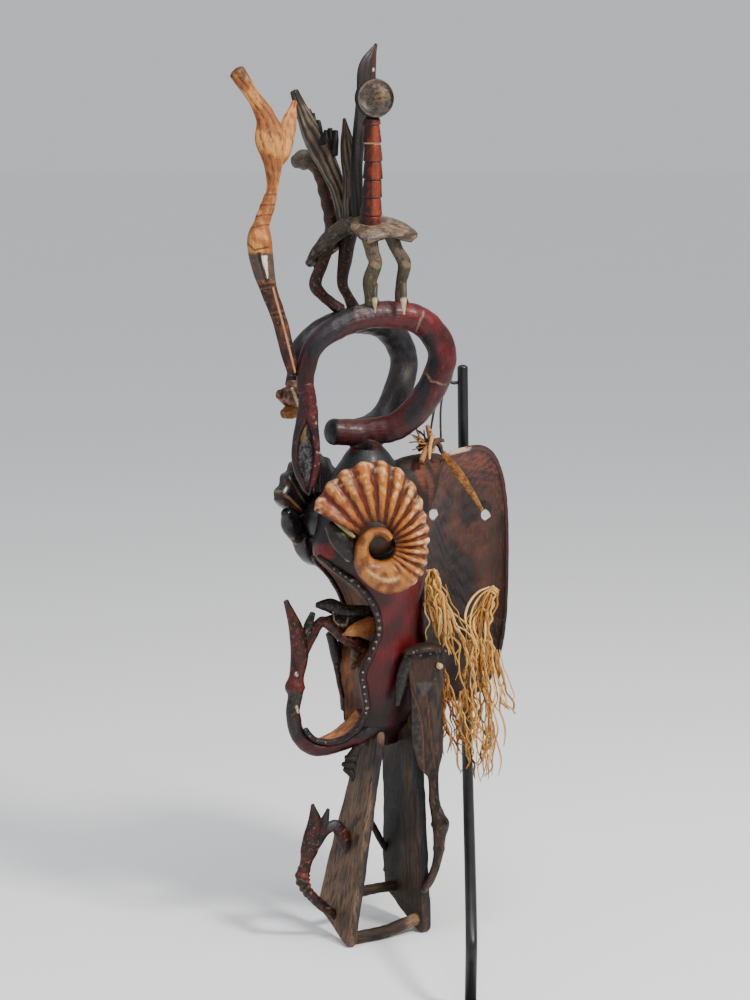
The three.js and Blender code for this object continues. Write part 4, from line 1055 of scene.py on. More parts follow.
def ear_root(side, colour, eye_colour):
    """The block that joins an ear to the head, with the swelling of the eye before it."""
    upward = (0, 0, 1)
    root = limb([
        [*ear_place(side, -14, 2, -12), 24, 27], [*ear_place(side, -20, 6, -30), 27, 30],
        [*ear_place(side, -20, 4, -52), 20, 24],
    ], across=upward, rows=60, sides=60, colour=colour)
    eye = limb([
        [*ear_place(side, -66, 14, -8), 6, 6], [*ear_place(side, -56, 2, -6), 9, 12],
        [*ear_place(side, -42, -18, -6), 7, 9],
    ], rows=90, sides=48, colour=eye_colour, worn=0.25)
    if side < 0:
        bar = [
            [*from_sheet(r, d, -90), half, 2.2]
            for r, d, half in ((331, 518, 1.8), (343, 527, 2.8), (354, 537, 1.6))
        ]
        return [root, eye, limb(bar, across=(0.4, -0.2, 1), rows=40, sides=24, colour="8c8552", worn=0.6)]
    lobes = [
        (306, 462, 18, 13), (300, 488, 14, 16), (299, 512, 10, 13), (301, 534, 10, 13), (308, 552, 5, 8)
    ]
    stations = [[*from_sheet(right, down, 34), half, half_deep] for right, down, half_deep, half in lobes]
    return [root, eye, limb(stations, across=FLAT_WISE, rows=120, sides=60, colour=colour, rough=0.9)]


def eye_paint(skin):
    """A dark panel with a yellow-green lid bar, a thin cream outline and a red patch."""
    spots = skin["spots"]
    base = mottled("1f1d19", "131316", "35321f", 9, 97)(skin)
    base = blend(base, "8e1f1c", patch(spots, [(315, 547), (328, 546), (332, 556), (325, 562), (316, 559)]))
    base = blend(base, "8d8546", stroke(spots, [(333, 518), (343, 527), (352, 536)], 4, 1.5) * 0.9)
    return blend(
        base, "b09a74", stroke(spots, [(322, 526), (327, 543), (338, 557), (349, 562)], 1.0, 0.6) * 0.8
    )


near_volute = finish_skin(
    ear_volute(-1, 1.0, 540, 1.6), ochre_ear_paint, lambda skin: 0.2 + 0.15 * skin["ribbed"]
)
far_volute = finish_skin(ear_volute(1, 0.92, 320, 0.7), black_ear_paint, 0.3)
ear_dark = mottled("2a1a16", "171314", "4b2a1e", 14, 99)
ochre_wood = finished_wood("rubbed_ochre", 0.48, "e0bd8a", "5a2d12", fibre=0.35, chips=0.35, coat=0.12)
black_wood = finished_wood("glossy_black", 0.3, "8c7152", "0c0b0c", chips=0.35, coat=0.3)
put(
    "near_ear_volute", [near_volute] + ear_root(-1, ear_dark, eye_paint), ochre_wood, "ochre_carving",
    "near_ear"
)
put(
    "far_ear_volute", [far_volute] + ear_root(1, black_ear_paint_plain, black_ear_paint_plain), black_wood,
    "dark_carving", "far_ear"
)

# A leaf hangs on each side of the jaw: a three-cornered cap with a beaded rim, a dark flap, and a
# thin jointed limb that curves in under it. A pale peg pins the near one.


def leaf_paint(skin):
    """Dark brown with a stippled grey strip, two orange-red lines with painted shade beside them, a
    recessed brown corner, and tan flecks of painted highlight on the lower limb.
    """
    points, spots = skin["points"], skin["spots"]
    base = blend("473327", "211a17", rise(ripple(points * [1, 1, 0.35], 12, 201), -0.4, 0.5))
    # Painted highlight: tan flecks on the lower limb, for light on its carved knobs.
    base = blend(
        base, "6f5540",
        rise(ripple(points * [1, 1, 0.5], 7, 203), 0.35, 0.9) * 0.6 * rise(spots[:, 1], 772, 790)
    )
    strip = patch(
        spots, [(399, 664), (409, 690), (421, 712), (424, 776), (414, 776), (408, 730), (398, 700)]
    )
    base = blend(base, "4c4a47", strip * 0.55 * rise(ripple(points * [1, 1, 0.5], 4, 202), 0.0, 0.6))
    base = blend(base, "42291e", patch(spots, [(410, 661), (434, 661), (424, 692)], 3) * 0.8)
    base = blend(base, "55504d", patch(spots, [(418, 684), (431, 684), (424, 694)], 3) * 0.6)
    for line in (
        [(409, 685), (418, 707), (422.5, 729), (424, 775)], [(426.5, 695), (430, 729), (435, 768)]
    ):
        # Painted shade: a dark copy of each line, shifted to its right.
        base = blend(base, "150f0e", stroke(spots, np.array(line) + [1.8, 0], 1.4) * 0.7)
        base = blend(base, "74401f", stroke(spots, line, 0.5, 0.8) * 0.75)
    return base


def limb_rings(t, angle, walked):
    """Turned rings on the thin limb: sharp cosines of the way along, only below its joint."""
    low = rise(t, 0.5, 0.56)
    cuts = 1.1 * np.exp(-(((walked - 196) / 3.5) ** 2)) + 0.8 * np.exp(-(((walked - 226) / 3) ** 2))
    folds = 1.1 * np.cos(4 * angle + 0.012 * walked) - 1.2 * np.exp(-(((angle - 4.71) / 0.22) ** 2))
    return low * (cuts + 0.5 * np.cos(3 * angle + walked * 0.05)) + folds * (1 - low)


def side_leaf(side, colour):
    """The skins of one side leaf, from its cap down to the end of its limb."""
    body = limb([
        [33, side * 47, 322, 7, 25], [35, side * 49, 300, 9, 23], [35, side * 50, 268, 9, 20],
        [36, side * 50, 232, 8, 20], [40, side * 50, 200, 6.5, 16], [44, side * 50, 180, 5, 6],
        [46, side * 50, 152, 5.5, 6], [51, side * 50, 136, 7, 7.5], [54, side * 50, 125, 8.5, 9.5],
        [53, side * 50, 113, 6.5, 7], [51, side * 48, 86, 4.8, 5.2], [45, side * 44, 64, 4.5, 4.8],
        [38, side * 40, 50, 4, 4.5],
    ], rows=220, sides=84, relief=limb_rings, colour=colour, worn=0.35)
    flap = limb(
        [[15, side * 46, 318, 6, 6], [7, side * 46, 296, 5, 7], [0, side * 47, 266, 2, 3]], rows=60,
        sides=30, colour=mottled("2a2523", "1a1817", "4a423c", 8, 207)
    )
    cap = limb(
        [[9, side * 48, 323, 6, 3], [33, side * 52, 327, 13, 5], [56, side * 48, 323, 6, 3]], rows=80,
        sides=30, colour="3a2620"
    )
    root = limb(
        [[26, side * 26, 292, 14, 16], [33, side * 48, 296, 12, 14]], across=(0, 0, 1), rows=30, sides=30,
        colour="231c1a"
    )
    beads = [
        stud(np.array([x, side * (59 - 0.004 * (x - 33) ** 2), 324 + 3 * np.cos(x)]), 1.7, 210 + k)
        for k, x in enumerate(np.linspace(14, 54, 11))
    ]
    for bead in beads:
        bead["paint"] = bead["paint"] * 0.45
    return [body, flap, cap, root] + beads


put("near_side_leaf_carving", side_leaf(-1, leaf_paint), dark_wood, "dark_carving", "near_side_leaf")
put(
    "far_side_leaf_carving", side_leaf(1, mottled("3d2a22", "231c1a", "5d4436", 14, 205)), dark_wood,
    "dark_carving", "far_side_leaf"
)
pale_wood = finished_wood("bare_pale_wood", 0.55, "e3c79c", "7d5733", fibre=0.3, chips=0.4, relief=0.6)
peg = limb(
    [[46, -50, 306, 3, 3], [46, -60, 306, 3.4, 3.4], [46, -62, 306, 2.6, 2.6]], across=(0, 0, 1), rows=20,
    sides=20, colour="cfae80"
)
put("near_leaf_peg", [peg], pale_wood, "pale_wood", "side_peg")

# On the crown stands a stub from which two carved snakes rise, coil back and over and come down
# in front. The near one ends in an open mouth, the far one in a clawed fist. Crimson over black.


def ring_paint(skin):
    """Bright crimson outside, black inside the coil, a worn silver-grey patch at the front, cream
    ring lines behind and a blue-black streak along the lower run."""
    points, spots = skin["points"], skin["spots"]
    px, py = spots.T
    base = blend("68121a", "420d13", rise(ripple(points, 40, 221), -0.5, 0.8))
    base = blend(base, "8a1f22", rise(ripple(points, 12, 222), 0.2, 0.9) * 0.35 * rise(px, 380, 425))
    base = blend(base, "2a1316", rise(404 - px, 0, 60) * (1 - rise(py, 380, 410)) * 0.75)
    base = blend(base, "26090d", rise(py, 388, 412) * 0.65)
    base = blend(base, "120e11", stroke(spots, [(428, 340), (433, 362), (422, 386)], 9, 5) * 0.9)
    base = blend(base, "1c1f26", stroke(spots, [(312, 349), (328, 331), (346, 318)], 10, 6) * 0.85)
    worn_patch = patch(spots, [(355, 306), (371, 304), (373, 316), (358, 319)], 3)
    base = blend(base, "6a696b", worn_patch * rise(ripple(points, 6, 224), -0.7, 0.2) * 0.6)
    base = blend(
        base, "54403f",
        patch(spots, [(375, 303), (400, 302), (402, 316), (378, 318)], 4)
        * rise(ripple(points, 7, 226), -0.4, 0.5) * 0.6
    )
    base = blend(base, "0e0d0f", stroke(spots, [(352, 303), (352.5, 318)], 2.2))
    base = blend(base, "1b1d24", stroke(spots, [(424, 390), (410, 418)], 10, 4) * 0.8)
    base = blend(base, "131214", stroke(spots, [(309, 348), (309, 357)], 3))
    for line in ([(424, 311), (416, 331)], [(426, 373), (431, 381), (445.5, 385)]):
        base = blend(base, "a88a74", stroke(spots, line, 0.7, 0.7) * 0.7)
    base = blend(
        base, "5c3a2c",
        stroke(spots, [(337, 424), (364, 419), (391, 404), (425, 370)], 5, 3)
        * rise(ripple(points, 6, 228), -0.6, 0.3) * 0.8
    )
    return blend(base, "131115", stroke(spots, [(331, 421), (331, 443)], 11, 3))


def far_ring_paint(skin):
    """Black and grey, with crimson on its inner side."""
    points, spots = skin["points"], skin["spots"]
    base = blend("171417", "2c282b", rise(ripple(points, 24, 225), -0.4, 0.6))
    base = blend(base, "4a423f", patch(spots, [(390, 366), (410, 366), (406, 400), (386, 400)], 6) * 0.45)
    return blend(
        base, "5b1519", patch(spots, [(310, 360), (348, 330), (352, 338), (322, 388), (310, 388)], 3) * 0.8
    )


def snake_ring(side, top, set_back, colour, worn):
    """One snake: out of the stub, back, up, over and down in front, tapering towards its head."""
    drop = 685 - top
    return limb([
        [-51, 0, 560, 13.5, 14], [-16, side * 5, 558, 14, 14.5], [19, side * 19, 566, 14.5, 15.5],
        [48, side * 33, 601 - drop / 2, 15, 16], [59, side * 40, 643 - drop, 14.5, 15.5],
        [35, side * 37, 676 - drop, 14.5, 15], [-14, side * 31, top, 13.5, 14],
        [-59 + set_back / 2, side * 27, 674 - drop, 12, 12.5],
        [-88 + set_back, side * 25, 654 - drop, 10.5, 10.5],
        [-98 + set_back * 2, side * 26, 628 - drop / 2, 9, 9.5],
        [-100 + set_back * 2, side * 28, 609, 8.5, 9],
    ], rows=300, sides=56, colour=colour, worn=worn, rough=0.4, seed=227)


def jaw_paint(skin):
    """Dark red lips with cream worn spots, darker towards the tip."""
    points, spots = skin["points"], skin["spots"]
    base = blend("551317", "2a0e12", rise(ripple(points, 26, 229), -0.3, 0.6))
    base = blend(base, "1c1819", rise(308 - spots[:, 0], 0, 5) * 0.7)
    return blend(
        base, "d9c09a", rise(ripple(points, 6, 231), 0.85, 1.0) * rise(spots[:, 0], 312, 316) * 0.6
    )


def gullet_paint(skin):
    """The inside of the open mouth: silver-grey cells on black, browner at the top."""
    points, spots = skin["points"], skin["spots"]
    cells = rise(np.abs(ripple(points * [1, 1, 0.45], 5, 235)), 0.15, 0.5)
    base = blend("121112", "5d5b5b", cells * 0.8)
    return blend(base, "8a6a45", stroke(spots, [(302, 392), (304, 420), (303, 440)], 3, 2) * 0.8)


def gripping_paint(skin):
    """Brown fist with a cream stripe down its lower knuckle."""
    spots = skin["spots"]
    base = mottled("74472c", "43291c", "a87346", 10, 233)(skin)
    base = blend(base, "a8763f", patch(spots, [(283, 407), (299, 407), (297, 418), (285, 418)], 2) * 0.7)
    return blend(base, "e0caa2", stroke(spots, [(292, 389), (301, 411), (305, 432)], 2.2) * 0.9)


snake_head = [
    limb([
        [-99, -28, 615, 8.5, 8.5], [*from_sheet(310, 412, -74), 8.5, 9], [*from_sheet(314, 430, -75), 5, 7],
        [*from_sheet(316.5, 450, -76), 4, 6], [*from_sheet(315, 470, -77), 4, 5],
        [*from_sheet(311, 486, -78), 3.2, 4], [*from_sheet(308.5, 495, -78), 1.2, 1.2],
    ], across=FLAT_WISE, rows=150, sides=44, colour=jaw_paint, worn=0.6),
    limb([
        [-100, -28, 604, 6, 7], [*from_sheet(303, 415, -75), 6.5, 7], [*from_sheet(297, 435, -78), 4, 5.5],
        [*from_sheet(294.5, 455, -79), 3.4, 5], [*from_sheet(297.5, 472, -79), 3.4, 5],
        [*from_sheet(303.5, 486, -79), 3, 4], [*from_sheet(308, 494, -78), 1.2, 1.2],
    ], across=FLAT_WISE, rows=130, sides=36, colour=jaw_paint, worn=0.5),
    limb([
        [*from_sheet(306, 410, -72), 5, 5], [*from_sheet(305.5, 435, -73), 9, 5],
        [*from_sheet(305.5, 455, -74), 11, 5], [*from_sheet(306, 474, -75), 9, 5],
        [*from_sheet(308, 489, -76), 4, 3],
    ], across=FLAT_WISE, rows=120, sides=40, colour=gullet_paint, rough=0.9, worn=0.5),
]
claw = [
    limb([
        [*from_sheet(286, 395, -50), 6, 6], [*from_sheet(292, 397, -52), 10, 9],
        [*from_sheet(299, 400, -54), 9, 8], [*from_sheet(304, 404, -56), 6, 6],
    ], rows=50, sides=36, colour=gripping_paint),
    limb(
        [[-84, 28, 614, 8, 8], [-86, 22, 604, 9, 9], [-88, 16, 597, 9, 10]], rows=40, sides=36,
        colour=gripping_paint
    ),
    limb(
        [[-113, 6, 603, 4, 5], [-100, 10, 600, 9, 11], [-82, 14, 596, 8, 9]], rows=60, sides=36,
        colour=gripping_paint, worn=0.5
    ),
    limb(
        [[-108, 6, 582, 4, 5], [-96, 10, 585, 8, 9], [-84, 16, 594, 8, 9]], rows=50, sides=36,
        colour=gripping_paint
    ),
]
stub = limb([
    [-11, 0, 541, 17, 17], [-11, 0, 548, 19, 20], [-8, 0, 558, 15, 19],
], rows=50, sides=60, colour=mottled("4e1014", "200f11", "5f1a1a", 16, 237))
near_snake = snake_ring(-1, 685, 0, ring_paint, 0.35)
far_snake = snake_ring(1, 674, 8, far_ring_paint, 0.35)
arch_wood = finished_wood(
    "crimson_arch_paint", 0.4, "6f6462", "130a0d", fibre=0.4, speckle=0.34, chips=0.3, coat=0.1, relief=0.9
)
put(
    "snake_coils", [near_snake, far_snake, stub] + snake_head + claw, arch_wood, "carved_arch", "snake_arch"
)

# The crest figures are one carving: a saddle over the snakes, four bent legs, two columns with
# turned joints, a round face, upright leaves and a forked plume. Brown-black, red on one column.


def saddle_skin():
    """The saddle: across each rib of its arch a strip from front to back edge, dipped at both
    edges, top and underside joined round a thin rim."""
    share = np.linspace(0, 1, 110)
    spine = curve(
        [
            [0, -50, 768], [0, -42, 775], [0, -22, 783], [0, 2, 787], [0, 25, 781], [0, 46, 761],
            [0, 62, 738]
        ],
        share
    )
    edges = curve(
        [[-38, 15, 0], [-45, 27, 0], [-42, 27, 0], [-29, 11, 0], [-33, 1, 0], [-43, -13, 0], [-47, -40, 0]],
        share
    )
    strip = np.linspace(0, 1, 26)
    loop = np.concatenate([strip, strip[::-1]])[None]
    half_thick = 2.75
    above = np.where(np.arange(2 * len(strip)) < len(strip), half_thick, -half_thick)[None]
    lift = -half_thick + above * (1 - np.abs(2 * loop - 1) ** 8 * 0.55)
    x = edges[:, :1] + (edges[:, 1:2] - edges[:, :1]) * loop
    z = spine[:, 2:] + 3 - 7 * np.abs(2 * loop - 1) ** 1.7 + lift
    y = spine[:, 1:2] + 0 * loop
    rings = np.dstack([x, y, z])
    rings[..., 2] += 0.35 * ripple(rings.reshape(-1, 3), 20, 241).reshape(x.shape)
    return closed_skin(rings, rings[0].mean(axis=0), rings[-1].mean(axis=0))


def saddle_paint(skin):
    """Grey-tan, stippled, with dark dashes along the lower edge; painted shade, black with a red
    tint, over its low edges and far fold.
    """
    points, spots = skin["points"], skin["spots"]
    base = blend("86705a", "5c4a3b", rise(ripple(points, 14, 243), -0.3, 0.5))
    base = blend(base, "2a2320", rise(ripple(points, 3.2, 245), 0.25, 0.6) * 0.7)
    edge = stroke(spots, [(417, 233), (396, 238), (369, 240.5), (358, 236)], 3)
    base = blend(base, "1d1a19", edge * (np.sin(spots[:, 0] * 1.6) > -0.2) * 0.9)
    # Painted shade: black with a red tint over the low parts of the saddle.
    return blend(base, "2b1a18", rise(760 - points[:, 2], 0, 12) * 0.8)


def leg_paint(skin):
    """Grey-brown thighs to olive shins, with paler knees."""
    points, spots = skin["points"], skin["spots"]
    base = blend("6a5b4c", "48432c", rise(spots[:, 1], 258, 271))
    base = blend(base, "1f1a18", rise(ripple(points, 7, 247), 0.1, 0.7) * 0.6)
    knees = np.maximum(
        stroke(spots, [(373, 264), (378, 266)], 5), stroke(spots, [(404, 263), (408, 265)], 5)
    )
    return blend(base, "a08a68", knees * 0.5)


legs = [limb(stations, rows=80, sides=26, colour=colour, worn=0.5) for stations, colour in (
    (
        [
            [-28, -34, 774, 7, 10], [-24, -36, 750, 6, 7.5], [-21, -37, 740, 6, 7.5], [-27, -36, 722, 6, 8],
            [-26, -35, 706, 5.5, 7], [-24, -35, 697, 6.5, 8.5]
        ],
        leg_paint
    ),
    (
        [
            [-3, -34, 774, 7, 9], [6, -36, 752, 6, 7], [14, -37, 738, 6, 7.5], [11, -36, 720, 5, 6],
            [10, -35, 706, 5, 6], [12, -35, 696, 6, 8]
        ],
        leg_paint
    ),
    (
        [
            [-32, 36, 768, 6, 9], [-44, 35, 738, 6, 6.5], [-54, 33, 713, 6, 7], [-46, 31, 702, 5, 6],
            [-36, 30, 694, 5, 6], [-26, 30, 687, 6, 7]
        ],
        mottled("3c251c", "201816", "6b3a28", 10, 249)
    ),
    (
        [
            [-12, 32, 775, 7, 10], [-19, 32, 738, 6, 8], [-22, 31, 713, 5, 6], [-16, 31, 701, 5, 5.5],
            [-9, 31, 688, 6, 7]
        ],
        mottled("3c251c", "201816", "6b3a28", 10, 251)
    ),
)]


# The length of a drum of the turned columns.
DRUM = 18.5


def joints(t, angle, walked):
    """Joints of a turned column: rounded drums parted by thin cuts of one width."""
    return -1.5 * (((walked / DRUM + 0.5) % 1) - 0.5) - 0.7 * np.exp(
        -((((walked / DRUM) % 1 - 0.5) / 0.04) ** 2)
    )


def near_column_paint(skin):
    """Glossy red-orange, with a painted highlight down its right side and painted shade down its
    left, black in its cuts and one cream line.
    """
    points, spots = skin["points"], skin["spots"]
    base = blend("70260f", "35100a", rise(ripple(points, 9, 253), -0.3, 0.6))
    # Painted highlight: a lighter red-orange stripe down the right side.
    base = blend(base, "9c4a22", stroke(spots, [(375, 125), (376, 215)], 3, 4) * 0.6)
    # Painted shade: darker down the left side.
    base = blend(base, "1d1210", rise(371 - spots[:, 0], 0, 8) * 0.9)
    cuts = np.exp(-((((skin["walked"] / DRUM) % 1 - 0.5) / 0.035) ** 2))
    base = blend(base, "1c0f0c", cuts * 0.8)
    return blend(base, "d7b88c", stroke(spots, [(362, 143.2), (382, 143.8)], 0.8) * 0.7)


def far_column_paint(skin):
    """Reddish brown mottle with a cream line round it; the knob at its top grey-brown."""
    spots = skin["spots"]
    base = mottled("4a261c", "2a1a16", "6b3d2b", 11, 255)(skin)
    base = blend(base, "61564b", rise(316 - spots[:, 0], 0, 8))
    return blend(base, "c9b48c", stroke(spots, [(322, 168), (329, 176), (332, 190)], 1.0) * 0.8)


def disc_paint(skin):
    """Flat scratched grey-brown with tan patches and a thin pale painted highlight round its rim."""
    points, spots = skin["points"], skin["spots"]
    base = blend("5c5249", "413a34", rise(ripple(points, 4, 257), -0.3, 0.5))
    base = blend(
        base, "8f7450",
        patch(spots, [(374, 86), (388, 87), (387, 99), (377, 98)], 5) * 0.8
        * rise(ripple(points, 6, 259), -0.2, 0.5)
    )
    ring = np.linalg.norm(spots - [377, 98], axis=1)
    # Painted highlight: the thin pale ring round the rim.
    base = blend(base, "c9bca3", (rise(ring, 17.8, 18.1) - rise(ring, 18.4, 19)) * 0.25)
    return blend(base, "1c1614", rise(ring, 19, 19.8))


def plume_paint(skin):
    """Grey-brown plume with light edges that turns black-green at its tips."""
    points, spots = skin["points"], skin["spots"]
    streaks = np.sin(skin["turn"] * 9 + 1.5 * ripple(points, 30, 262))
    base = blend("6d5e50", "2c2621", rise(streaks, -0.4, 0.5))
    base = blend(base, "94806a", rise(-streaks, 0.8, 1.0) * 0.5)
    return blend(base, "191a18", rise(112 - spots[:, 1], 0, 20) * 0.8)


def tall_leaf_paint(skin):
    """Red-brown right side, black below, with a white mark near the tip."""
    spots = skin["spots"]
    base = blend("2c2320", "4c2a20", rise(spots[:, 0], 369, 374))
    base = blend(base, "15110f", rise(spots[:, 1], 70, 86) * 0.8)
    return blend(base, "e9e2d2", stroke(spots, [(373, 68.5), (373.2, 70.5)], 0.6) * 0.8)


far_wing = limb([
    [*from_sheet(356, 223, -6), 8, 8], [*from_sheet(343, 228, 0), 9, 9], [*from_sheet(329, 239, 6), 9, 8.5],
    [*from_sheet(318, 251, 10), 8, 7.5], [*from_sheet(309, 263, 16), 7, 5],
], across=(0.5, 0.866, 0), rows=80, sides=34, colour=mottled(
    "50453b", "2c2623", "75654f", 9, 263
), rough=0.7, worn=0.4)


def claw_paint(skin):
    """Olive-brown at the foot, pale bone down the claw."""
    return blend("4a4130", "cbb794", rise(skin["share"], 0.38, 0.5))


def low_waves(t, angle, walked):
    """Low waves along the far column, below its knob."""
    return 0.5 * np.cos(walked * 0.42) * (t < 0.7)


toes = []
for right in (374, 403):
    stations = [
        [*from_sheet(right, 284, -42), 4, 3], [*from_sheet(right + 0.3, 296, -46.5), 3.4, 2.8],
        [*from_sheet(right + 0.6, 304, -49), 2.4, 2], [*from_sheet(right + 1, 314, -49), 0.7, 0.7],
    ]
    toes.append(limb(stations, across=FLAT_WISE, rows=40, sides=24, colour=claw_paint))
near_column = limb([
    [-22, -28, 780, 12, 11.5], [-22.5, -33, 815, 9.6, 10], [-24, -37, 850, 9, 9.4],
    [-27, -39, 886, 9.2, 8.5],
], rows=180, sides=36, relief=joints, colour=near_column_paint, worn=0.2)
far_column = limb([
    [-26, 44, 754, 9, 9], [-25, 50, 780, 8, 8], [-30, 54, 808, 7, 7], [-35, 56, 830, 7, 8],
    [-44, 57, 843, 8, 9], [-55, 58, 845, 10, 11], [-65, 58, 843, 6, 7],
], rows=140, sides=30, relief=low_waves, colour=far_column_paint, worn=0.4)
disc = limb([
    [-22, -36, 908, 15, 15], [-24, -39, 908, 18.5, 18.5], [-25.5, -42, 908, 20, 20],
    [-29, -49, 908, 20, 20], [-30, -50.6, 908, 18.8, 18.8], [-30.2, -51, 908, 12, 12],
    [-30.3, -51.1, 908, 0.8, 0.8],
], across=(0, 0, 1), rows=50, sides=64, colour=disc_paint, rough=0.15, worn=0.3)


def middle_rib(t, angle, walked):
    """Lengthwise gouge cuts: two shallow waves round the section that drift along the leaf."""
    return 0.8 * np.cos(5 * angle + 0.02 * walked) - 0.8 * np.exp(-((np.sin(angle) / 0.25) ** 2))


leaves = [
    limb([
        [-19, 2, 780, 6, 6], [-21, 1, 845, 5, 6], [-15, 3, 886, 5, 8], [-9, 5, 912, 5, 11],
        [-7, 5, 941, 4, 10], [4, 5, 965, 1, 1],
    ], rows=120, sides=32, colour=tall_leaf_paint, relief=middle_rib),
    limb([
        [-19, 20, 780, 6, 8], [-19, 20, 824, 5, 8], [-22, 20, 858, 4, 8.5], [-26, 20, 888, 1, 1],
    ], rows=90, sides=30, colour=plume_paint, relief=middle_rib),
    limb([
        [-18, 30, 778, 7, 8], [-27, 30, 812, 7, 8.5], [-41, 29, 841, 7, 11], [-58, 26, 866, 7, 12],
        [-73, 22, 890, 6, 8], [-87, 17, 915, 3, 4],
    ], rows=120, sides=36, colour=plume_paint, relief=middle_rib),
]
# The dark tufts beside the plume: the tip of each on the drawing, its root, and how far behind.
TUFTS = (
    [308, 110, 312, 130, -6], [313, 114, 316, 136, -4], [318, 121, 321, 143, -6], [325, 131, 327, 148, 4],
    [330, 129, 331, 153, 6], [335, 131, 334, 154, 4]
)
for right, down, root_right, root_down, behind in TUFTS:
    middle = from_sheet((right + root_right) / 2, (down + root_down) / 2, behind)
    tuft = [
        [*from_sheet(right, down, behind), 2.6, 2.4], [*middle, 4.4, 5],
        [*from_sheet(root_right, root_down, behind), 4.6, 6]
    ]
    leaves.append(limb(tuft, across=FLAT_WISE, rows=36, sides=20, colour="1a1815", rough=1.3))
saddle = finish_skin(saddle_skin(), saddle_paint, 0.5)
put(
    "crest_figures", [saddle, far_wing, disc] + toes + legs + [near_column, far_column] + leaves, dark_wood,
    "dark_carving", "twin_figures"
)

# The pale bird hangs head down with its bill in the fist. It is bare light wood, never painted,
# with knife-cut feather strokes, a ringed neck and a long closed bill stained red-brown.


def bird_relief(t, angle, walked):
    """Feather cuts down the body, deep neck rings, and a groove between the mandibles."""
    feathers = 0.8 * np.maximum(np.sin(angle * 9 + walked * 0.12), 0) ** 3 * (t < 0.36)
    neck = 0.3 * np.cos((walked - 116) * 2 * np.pi / 10.6) * rise(t, 0.37, 0.4) * (1 - rise(t, 0.52, 0.55))
    eyes = -1.2 * np.exp(-(((t - 0.6) / 0.012) ** 2)) * np.exp(-((np.sin(angle) / 0.5) ** 2))
    gape = -1.6 * np.exp(-((np.cos(angle) / 0.2) ** 2)) * rise(t, 0.68, 0.72)
    return -feathers + neck + eyes + gape


def pale_bird_paint(skin):
    """Pale orange-tan wood; dark feather cuts and rings, a grey bill base with a narrow white
    triangle, double rings, and red-brown mandibles with a cream line between them."""
    points, spots, t = skin["points"], skin["spots"], skin["share"]
    py = spots[:, 1]
    base = blend("cc9150", "9c5f2f", rise(ripple(points * [1, 1, 0.5], 16, 271), -0.4, 0.5))
    cuts = np.maximum(np.sin(skin["turn"] * 9 + skin["walked"] * 0.12), 0) ** 3 * (t < 0.36)
    broken = rise(np.sin(skin["walked"] * 0.33 + 5 * np.sin(skin["turn"] * 4)), -0.7, 0.0)
    base = blend(base, "4a2f20", cuts * broken * 0.95)
    base = blend(base, "3b2a20", rise(84 - py + 6 * ripple(points, 6, 275), 0, 12) * (t < 0.2) * 0.85)
    for height in (196, 206, 216, 226):
        base = blend(
            base, "5b3a24",
            stroke(spots, [(248, height + 3), (262, height - 1), (284, height - 2)], 1.1) * 0.75
        )
    base = blend(base, "33221a", stroke(spots, [(247, 243), (254, 250), (268, 247)], 1.0) * 0.85)
    base = blend(base, "4b443f", rise(py, 251, 255) * (1 - rise(py, 279, 283)) * 0.95)
    base = blend(base, "1f1b1a", stroke(spots, [(259, 254), (267, 281)], 3.5, 1) * 0.9)
    base = blend(base, "e6dcc8", patch(spots, [(261.5, 256), (266.5, 256), (267.5, 278)], 0.8) * 0.9)
    bill = blend("4c2419", "261814", rise(ripple(points, 12, 273), -0.4, 0.4))
    base = blend(base, bill, rise(py, 280, 284))
    for height in (282, 287, 313, 318):
        base = blend(base, "7d5a42", stroke(spots, [(255, height + 3), (288, height - 3)], 0.7) * 0.6)
    return blend(base, "d79a78", stroke(spots, [(273, 288), (284.5, 330), (295, 372)], 0.9) * 0.75)


bird_body = limb([
    [-165, -8, 933, 6.5, 9], [-147, -8, 909, 5.5, 7.5], [-134, -9, 889, 7, 11], [-129, -10, 866, 9, 17],
    [-126, -10, 840, 8, 10], [-127, -10, 818, 6, 6], [-132, -10, 800, 7, 7.5], [-139, -10, 783, 8, 8.5],
    [-143, -11, 765, 12, 13], [-141, -12, 744, 11, 12.5], [-134, -14, 714, 8, 9], [-123, -16, 683, 6.5, 8],
    [-115, -17, 651, 6, 7.5], [-108, -18, 627, 5.5, 6.5],
], rows=340, sides=60, relief=bird_relief, colour=pale_bird_paint, worn=0.4)
bird_wing = limb([
    [-126, -9, 838, 3, 6], [-113, -4, 856, 4, 11], [-100, 4, 882, 4, 8.5], [-89, 12, 905, 1.5, 2],
], rows=90, sides=40, colour=pale_bird_paint, relief=middle_rib)
put("pale_hanging_bird", [bird_body, bird_wing], pale_wood, "pale_wood", "pale_bird")

# A strip of tan bark hangs across the hollow from a knotted fibre tie on its top edge to the far
# eye hole, and a thin wire runs from the tie up over the hook of the stand.
bark = finished_wood("dry_bark", 0.6, "dcb98a", "7d4a22", fibre=0.35, chips=0.2, relief=0.5)
strap = limb([
    [*from_sheet(440, 449, 10), 2.4, 1], [*from_sheet(448, 459, 20), 4.4, 1],
    [*from_sheet(458, 472, 40), 5.4, 1.1], [*from_sheet(468, 487, 60), 4.6, 1.1],
    [*from_sheet(476, 500, 80), 3.0, 1.1], [*from_sheet(482, 510, 95), 2.2, 1.4],
], across=FLAT_WISE, rows=120, sides=28, worn=0.3, colour=lambda skin: blend(
    mottled("bf8446", "9a6233", "d8ab6c", 14, 281)(skin), tint("3a2416"), rise(
        np.abs(np.cos(skin["turn"])), 0.9, 0.99
    )))
put("bark_strap", [strap], bark, "bark_strip", "strap")
